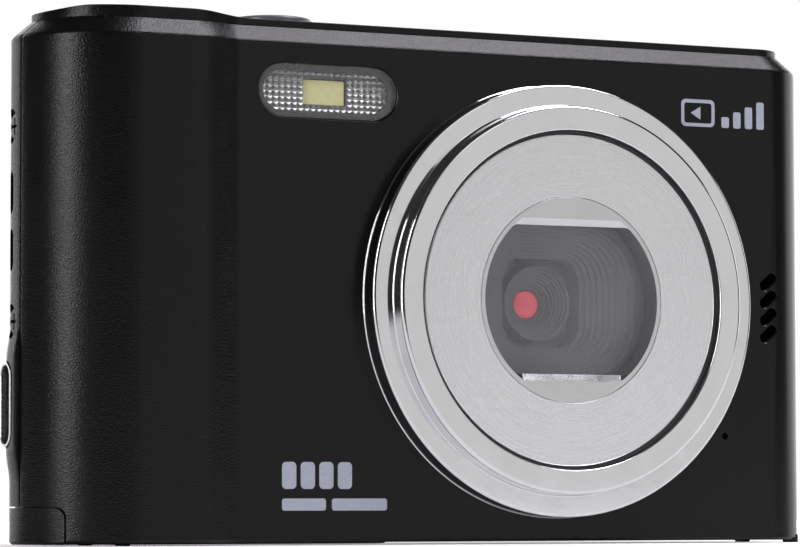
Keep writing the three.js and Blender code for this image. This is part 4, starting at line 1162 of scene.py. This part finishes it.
def makeBarrel():
    back = barrel["start"] + barrel["length"]
    profile = [
        (barrel["radius"], barrel["start"], 0.06),
        (barrel["radius"], back, 0),
        (barrel["throat"], back, 0),
        (barrel["throat"], barrel["floor"], 0),
    ]
    for i in range(barrel["rings"], 0, -1):
        outer = barrel["throat"] + (barrel["mouth"] - barrel["throat"]) * i / barrel["rings"]
        step = barrel["start"] + (barrel["floor"] - barrel["start"]) * (1 - i / barrel["rings"])
        profile.insert(4, (outer, step, 0))
        profile.insert(4, (outer, step + (barrel["floor"] - barrel["start"]) / barrel["rings"], 0))
    settle(lathe("y", (lensX, lensZ), profile, 64), "barrel", "casing", "baffle", ["lens_barrel"])


def makeLens():
    low, high = drawn("lens_element")
    profile = [(0, low.y, 0), (0.5, low.y + 0.02, 0), (1.0, low.y + 0.1, 0), (1.3, low.y + 0.18, 0),
               (1.5, low.y + 0.3, 0.04), (1.5, high.y, 0), (0, high.y, 0)]
    settle(lathe("y", (lensX, lensZ), profile, 48), "frontLens", "casing", "lens", ["lens_element"])
    print("lens and well made")


flash = {"rim": 0.7, "pitch": (0.73, 0.6), "dimpleDepth": 0.2, "sheet": 0.35, "windowDepth": 0.7}


def makeFlash():
    low, high = drawn("flash_window")
    width, height = high.x - low.x, high.z - low.z
    centre = (flashMiddle.x, flashMiddle.z)
    settle(pill("y", centre, width, height, low.y + flash["windowDepth"], low.y, segments=14, soft=0.12),
           "flashWindow", "casing", "flashWindow", ["flash_window"])
    trayBack = drawn("flash_reflector")[1].y
    tray = pill("y", centre, width, height, low.y + flash["windowDepth"] + 0.05, trayBack, segments=10)
    well = pill("y", centre, width - flash["rim"] * 2, height - flash["rim"] * 2, -5, 1.5, segments=10)
    lampMiddle = middleOf("flash_led")
    lampHole = slab("y", (lampMiddle.x, lampMiddle.z), 5.4, 3.1, 0.1, -5, 9, segments=2)
    settle(combine(tray, [well, lampHole]), "flashTray", "casing", "tray", ["flash_reflector"])
    makeDimples(centre, width - flash["rim"] * 2, height - flash["rim"] * 2)
    lampLow, lampHigh = drawn("flash_led")
    lamp = block((lampLow.x, 1.3, lampLow.z), (lampHigh.x, lampHigh.y, lampHigh.z), 0.15)
    settle(lamp, "flashLamp", "casing", "lamp", ["flash_led"])
    print("flash made")


# the pimpled back of the flash window: a grid of shallow pyramids, cut to a pill
def makeDimples(centre, width, height):
    pitchX, pitchZ = flash["pitch"]
    across, up = math.ceil(width / pitchX), math.ceil(height / pitchZ)
    bm = bmesh.new()
    bmesh.ops.create_grid(bm, x_segments=across, y_segments=up, size=0.5)
    bmesh.ops.scale(bm, vec=(across * pitchX, up * pitchZ, 1), verts=bm.verts[:])
    cells = bm.faces[:]
    made = bmesh.ops.extrude_face_region(bm, geom=cells, use_keep_orig=True)["geom"]
    verts = [g for g in made if isinstance(g, bmesh.types.BMVert)]
    bmesh.ops.translate(bm, vec=(0, 0, flash["sheet"]), verts=verts)
    bmesh.ops.recalc_face_normals(bm, faces=bm.faces[:])
    bmesh.ops.poke(bm, faces=cells, offset=flash["dimpleDepth"])
    stand(bm, "y", centre, 1.0)
    outline = pill("y", centre, width - 0.05, height - 0.05, 0.4, 2.0, segments=12)
    lamp = middleOf("flash_led")
    opening = slab("y", (lamp.x, lamp.z), 5.2, 2.95, 0.3, 0, 3, segments=3)
    body = combine(combine(bm, [outline], "INTERSECT"), [opening])
    settle(body, "flashDimples", "casing", "dimples", (), sharp=15)


def makeShutter():
    low, high = drawn("shutter_button")
    radius = shutter["radius"]
    top = high.z
    profile = [
        (0, low.z, 0),
        (radius + shutter["flange"], low.z, 0),
        (radius + shutter["flange"], low.z + shutter["flangeThick"], 0),
        (radius, low.z + shutter["flangeThick"], 0),
        (radius, top - shutter["edge"], 0.3),
        (radius - shutter["brow"], top - shutter["browDrop"], 0.9),
        (0, top, 0),
    ]
    settle(lathe("z", (shutterX, buttonY), profile, 96, 6), "shutterButton", "shutter", "shutter",
           ["shutter_button"])


def makePower():
    low, high = drawn("power_button")
    length, width, wider = power["length"], power["width"], power["flange"] * 2
    cap = pill("z", (powerX, buttonY), length, width, low.z, high.z, segments=14, soft=power["soft"])
    flange = pill("z", (powerX, buttonY), length + wider, width + wider, low.z, low.z + power["flangeThick"],
                  segments=14)
    settle(combine(cap, [flange], "UNION"), "powerButton", "power", "key", ["power_button"])
    dot = bar("z", (powerX, buttonY), power["dot"], high.z - 0.05, high.z + 0.02, sides=20)
    settle(dot, "powerDot", "power", "keyMark")
    print("top buttons made")


# plain signs for the keys, as flat bars and outlines standing a hair above the key's face
def keySign(kind):
    if kind == "zoom_in_key":
        return combine(stroke(-0.7, 0, 0.7, 0), [stroke(0, -0.7, 0, 0.7)], "UNION")
    if kind == "zoom_out_key":
        return stroke(-0.7, 0, 0.7, 0)
    if kind == "mode_key":
        frameOut = slab("z", (0, 0), 2.2, 1.5, 0.3, 0, 0.08, segments=3)
        return combine(frameOut, [slab("z", (0, 0), 1.8, 1.1, 0.15, -1, 1, segments=3)])
    if kind == "playback_key":
        return triangle(0.8)
    if kind == "menu_key":
        return together(*[stroke(-0.8, z, 0.8, z) for z in (-0.5, 0, 0.5)])
    binBody = slab("z", (0, -0.15), 1.1, 1.2, 0.15, 0, 0.08, segments=3)
    return together(combine(binBody, [slab("z", (0, -0.05), 0.7, 1.0, 0.1, -1, 1, segments=3)]),
                    stroke(-0.8, 0.65, 0.8, 0.65))


def stroke(x0, y0, x1, y1, width=0.22):
    dx, dy = x1 - x0, y1 - y0
    return slab("z", ((x0 + x1) / 2, (y0 + y1) / 2), abs(dx) + width, abs(dy) + width, width / 2 - 0.01, 0,
                0.08, segments=3)


def triangle(reach):
    bm = bmesh.new()
    turn = Matrix.Rotation(-math.pi / 2, 4, "Z")
    bmesh.ops.create_circle(bm, cap_ends=True, segments=3, radius=reach, matrix=turn)
    pushOut(bm, bm.faces[:], 0.08)
    bmesh.ops.recalc_face_normals(bm, faces=bm.faces[:])
    return bm


# turns a flat sign to face backwards at a place on the back
def signOnBack(bm, x, y, z):
    bmesh.ops.transform(bm, matrix=Matrix(((-1, 0, 0), (0, 0, 1), (0, 1, 0))).to_4x4(), verts=bm.verts[:])
    bmesh.ops.translate(bm, vec=(x, y, z), verts=bm.verts[:])
    bmesh.ops.recalc_face_normals(bm, faces=bm.faces[:])
    return bm


def makeKeys():
    face = backFace + keys["proud"]
    for node, body in keyNodes.items():
        low, high = drawn(node)
        at = (low + high) / 2
        cap = pill("y", (at.x, at.z), keys["width"], keys["height"], low.y, face, segments=12,
                   soft=keys["top"])
        flange = pill("y", (at.x, at.z), high.x - low.x, high.z - low.z, low.y, low.y + 0.6, segments=8)
        settle(combine(cap, [flange], "UNION"), body + "Key", body, "key", [node])
        settle(signOnBack(keySign(node), at.x, face - 0.05, at.z), body + "Sign", body, "keyMark")
    print("keys made")


def makePad():
    low, high = drawn("direction_pad")
    face = high.y
    profile = [
        (keys["padBore"], low.y, 0),
        (keys["padRadius"] + 0.5, low.y, 0),
        (keys["padRadius"] + 0.5, low.y + 0.5, 0),
        (keys["padRadius"], low.y + 0.5, 0),
        (keys["padRadius"], face - 0.05, 0.4),
        (keys["padRadius"] - 1.2, face, 0.8),
        (keys["padBore"] + 1.0, face - 0.32, 0.8),
        (keys["padBore"] + 0.35, face - 0.2, 0.2),
        (keys["padBore"], face - 0.35, 0.12),
    ]
    settle(lathe("y", (padMiddle.x, padMiddle.z), profile, 128, 5), "directionRing", "pad", "key",
           ["direction_pad"])
    for i in range(4):
        mark = triangle(0.5)
        bmesh.ops.rotate(mark, cent=(0, 0, 0), matrix=Matrix.Rotation(math.pi / 2 * i, 3, "Z"),
                         verts=mark.verts[:])
        turn = math.pi / 2 * i
        reach = keys["padRadius"] - 1.9
        spot = (padMiddle.x - reach * math.cos(turn), face - 0.12, padMiddle.z + reach * math.sin(turn))
        settle(signOnBack(mark, *spot), f"directionSign{i + 1}", "pad", "keyMark")
    okLow, okHigh = drawn("ok_key")
    profile = [
        (0, okLow.y, 0),
        (keys["okRadius"], okLow.y, 0),
        (keys["okRadius"], okHigh.y - 0.15, 0.35),
        (keys["okRadius"] - 1.0, okHigh.y, 0.5),
        (0, okHigh.y - 0.06, 0),
    ]
    settle(lathe("y", (padMiddle.x, padMiddle.z), profile, 96, 5), "okKey", "ok", "key", ["ok_key"])
    ringSign = combine(bar("z", (0, 0), 0.62, 0, 0.08, sides=28), [bar("z", (0, 0), 0.42, -1, 1, sides=28)])
    settle(signOnBack(ringSign, padMiddle.x, okHigh.y - 0.11, padMiddle.z), "okSign", "ok", "keyMark")
    print("direction ring made")


def makeScreen():
    size = screenHigh - screenLow
    centre = ((screenLow.x + screenHigh.x) / 2, (screenLow.z + screenHigh.z) / 2)
    settle(slab("y", centre, size.x, size.z, 1.2, screenLow.y, screenHigh.y, segments=8, soft=0.18),
           "screenGlass", "casing", "glass", ["display_window"])
    print("screen made")


def makePort():
    mouth = leftEnd - boss["proud"] - port["proud"]
    end = mouth + port["proud"] + port["depth"]
    at = (sideY, port["height"])
    shell = pill("x", at, port["width"], port["length"], mouth, end, segments=10, softStart=0.08)
    inside = port["wall"] * 2
    opening = hole("x", at, port["width"] - inside, port["length"] - inside,
                   (port["width"] - inside) / 2 - 0.005,
                   mouth, end - 0.5, 0.1)
    settle(combine(shell, [opening]), "portShell", "casing", "steel", ["usb_port"])
    tongue = block((mouth + 0.9, sideY - 0.35, port["height"] - 3.2),
                   (end - 0.4, sideY + 0.35, port["height"] + 3.2), 0.08)
    settle(tongue, "portTongue", "casing", "innerBlack")
    contacts = []
    for i in range(10):
        z = port["height"] + (i - 4.5) * 0.58
        for side in (-1, 1):
            y = sideY + side * 0.36
            contacts.append(block((mouth + 1.3, y - 0.03, z - 0.13), (end - 0.6, y + 0.03, z + 0.13)))
    settle(together(*contacts), "portContacts", "casing", "gold")
    print("port made")


def makeScrews():
    head, radius = screws["head"], screws["headRadius"]
    for node in ("side_screw_upper", "side_screw_lower", "bottom_screw_middle", "bottom_screw_right"):
        low, high = drawn(node)
        axis = "x" if node.startswith("side") else "z"
        at = (low + high) / 2
        centre = (at.y, at.z) if axis == "x" else (at.x, at.y)
        start = low.x if axis == "x" else low.z
        end = high.x if axis == "x" else high.z
        profile = [
            (0, start, 0),
            (radius * 0.86, start, 0.3),
            (radius, start + head * 0.45, 0.1),
            (radius, start + head, 0),
            (screws["shank"], start + head, 0),
            (screws["shank"], end, 0),
            (0, end, 0),
        ]
        body = lathe(axis, centre, profile, 48)
        arm = radius * 0.62
        cross = []
        for wide, narrow in ((arm, 0.17), (0.17, arm)):
            cross.append(slab(axis, centre, wide * 2, narrow * 2, 0.05, start - 1, start + head * 0.6,
                              segments=2))
        settle(combine(body, cross), node.title().replace("_", ""), "casing", "darkSteel", [node])
    print("screws made")


# a plain turned thread in the bush, one ridge for each turn
def makeTripodBush():
    low, high = drawn("tripod_bush")
    bore, radius = tripod["bore"], tripod["radius"]
    pitch = (high.z - low.z - 0.8) / tripod["threads"]
    profile = [(radius, low.z, 0.15), (radius, high.z, 0), (bore + 0.2, high.z, 0)]
    for i in range(tripod["threads"]):
        z = high.z - 0.3 - pitch * i
        profile.append((bore + 0.35, z, 0))
        profile.append((bore, z - pitch / 2, 0.05))
    profile.append((bore + 0.5, low.z, 0.05))
    settle(lathe("z", (tripodX, middleY), profile, 96, 2), "tripodBush", "casing", "brass", ["tripod_bush"])
    print("tripod bush made")


# the casing's outline carried down below it, with a bevelled lower edge
def doorBlank():
    edge, bevel = door["crown"], casing["bottomBevel"]
    bm = planSolid(edge, 8)
    bm.normal_update()
    bmesh.ops.inset_region(bm, faces=[faceAt(bm, edge)], thickness=bevel, depth=bevel, use_even_offset=True)
    return bm


def makeDoor():
    crown, thickness = door["crown"], door["thickness"]
    inner = leftEnd + door["capWidth"]
    pinX = doorEnd - door["knuckle"]
    pinZ = door["knuckle"] - crown
    front, back = door["margin"], backFace - door["margin"]
    arms = (front + 0.8, back - 0.8 - door["armThickness"])

    cap = combine(doorBlank(), [doorCorner(0)], "INTERSECT")
    inset, height = door["rebate"]
    cap = combine(cap, [planSolid(thickness, 8, door["wall"]), planSolid(height, 8, inset)])
    tray = insideOutline(door["margin"], pinX - door["slide"], -crown, thickness)
    bmesh.ops.translate(tray, vec=(door["slide"], 0, 0), verts=tray.verts[:])
    neck = block((inner - 1.5, door["neck"], -crown),
                 (inner + door["slide"] * 2, backFace - door["neck"], thickness))
    room = []
    for y in arms:
        near, far = (-9, y + door["armThickness"] + door["armGap"]) if y < middleY else (y - door["armGap"],
                                                                                         30)
        room.append(block((pinX - door["knuckle"] - 0.5, near, -5), (pinX + 2, far, 9)))
    tray = combine(tray, room)
    knuckle = bar("y", (pinX, pinZ), door["knuckle"], arms[0] + door["armThickness"] + door["armGap"],
                  arms[1] - door["armGap"], sides=40)
    body = combine(combine(cap, [neck, tray, knuckle], "UNION"),
                   [bar("y", (pinX, pinZ), door["pin"], -5, 22, sides=32)])
    feet = [footBlock(leftEnd + door["footFromEnd"], y) for y in (frontFootY, rearFootY)]
    settle(together(body, *feet), "batteryDoor", "door", "shell", ["battery_door"])
    print("battery door made")


battery = {"corner": 1.6, "soft": 0.3, "pull": (9, 2.4)}


def makeBattery():
    low, high = drawn("battery")
    centre = ((low.x + high.x) / 2, (low.y + high.y) / 2)
    corner, soft = battery["corner"], battery["soft"]
    body = slab("z", centre, high.x - low.x, high.y - low.y, corner, low.z, high.z, segments=8, soft=soft,
                softStart=soft)
    settle(body, "batteryCell", "casing", "wrap", ["battery"])
    length, width = battery["pull"]
    pull = slab("z", centre, length, width, 1.0, low.z - 0.04, low.z + 0.2, segments=6)
    settle(pull, "batteryPull", "casing", "label")


# plain marks where the front carries printing: a framed arrow with bars, and two rows of bars
marks = {
    "thick": 0.03,
    "upper": (16.3, 27.3, 20.2, 23.3),
    "lowerTop": (-33.4, -25.1, -20.7, -17.8),
    "lowerBottom": (-33.4, -20.9, -23.0, -21.5),
}


def frontBar(x0, x1, z0, z1, corner=0.25):
    centre = (lensX + (x0 + x1) / 2, lensZ + (z0 + z1) / 2)
    corner = min(corner, (x1 - x0) / 2 - 0.01, (z1 - z0) / 2 - 0.01)
    return slab("y", centre, x1 - x0, z1 - z0, corner, 0.02, -marks["thick"], segments=4)


def makeMarks():
    x0, x1, z0, z1 = marks["upper"]
    outer = frontBar(x0, x0 + 4.4, z0, z1, 0.6)
    screenSign = combine(outer,
                         [slab("y", (lensX + x0 + 2.2, lensZ + (z0 + z1) / 2), 3.6, z1 - z0 - 0.8, 0.3, -2,
                               2, segments=4)])
    arrow = triangle(0.85)
    bmesh.ops.transform(arrow, matrix=axisTurns["y"], verts=arrow.verts[:])
    bmesh.ops.scale(arrow, vec=(-1, -0.6, 1), verts=arrow.verts[:])
    bmesh.ops.translate(arrow, vec=(lensX + x0 + 2.1, 0.02, lensZ + (z0 + z1) / 2), verts=arrow.verts[:])
    bmesh.ops.recalc_face_normals(arrow, faces=arrow.faces[:])
    bars = [frontBar(x0 + 5.3 + 1.55 * i, x0 + 6.3 + 1.55 * i, z0,
                     z0 + (z1 - z0) * (0.4 + 0.2 * i)) for i in range(4)]
    settle(together(screenSign, arrow, *bars), "upperMark", "casing", "mark")
    x0, x1, z0, z1 = marks["lowerTop"]
    rows = [frontBar(x0 + 2.2 * i, x0 + 1.7 + 2.2 * i, z0, z1, 0.5) for i in range(4)]
    x0, x1, z0, z1 = marks["lowerBottom"]
    rows += [frontBar(x0, x0 + 5.2, z0, z1 - 0.2, 0.3), frontBar(x0 + 5.9, x1, z0, z1 - 0.2, 0.3)]
    settle(together(*rows), "lowerMark", "casing", "mark")
    print("marks made")


carried = {
    "lens_holder": "innerBlack",
    "image_sensor": "glass",
    "main_board": "board",
    "processor_chip": "innerBlack",
    "memory_chip": "innerBlack",
    "display_panel": "steel",
    "key_board": "board",
    "top_board": "board",
    "shutter_switch": "steel",
    "power_switch": "steel",
    "speaker": "innerBlack",
    "microphone": "steel",
    "card_socket": "steel",
    "flash_board": "board",
    "pad_pivot": "steel",
    "battery_cage": "innerBlack",
    "battery_contact_1": "gold",
    "battery_contact_2": "gold",
    "battery_contact_3": "gold",
    "door_slide": "steel",
    "hinge_pin": "steel",
    "strap_cup": "innerBlack",
}


def dressCarriedNodes():
    for node, material in carried.items():
        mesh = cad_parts[node].data
        mesh.materials.clear()
        mesh.materials.append(finish[material])
    print("carried nodes dressed")


makeCamera()
makeWorld()
makeLights()
makeFloor()
makeMaterials()
makeFrontCover()
makeRearCover()
makeTopPlate()
makeRing()
makeDisc()
makeWindowFrame()
makeWindow()
makeBaffle()
makeBarrel()
makeLens()
makeFlash()
makeShutter()
makePower()
makeKeys()
makePad()
makeScreen()
makePort()
makeScrews()
makeTripodBush()
makeDoor()
makeBattery()
makeMarks()
dressCarriedNodes()
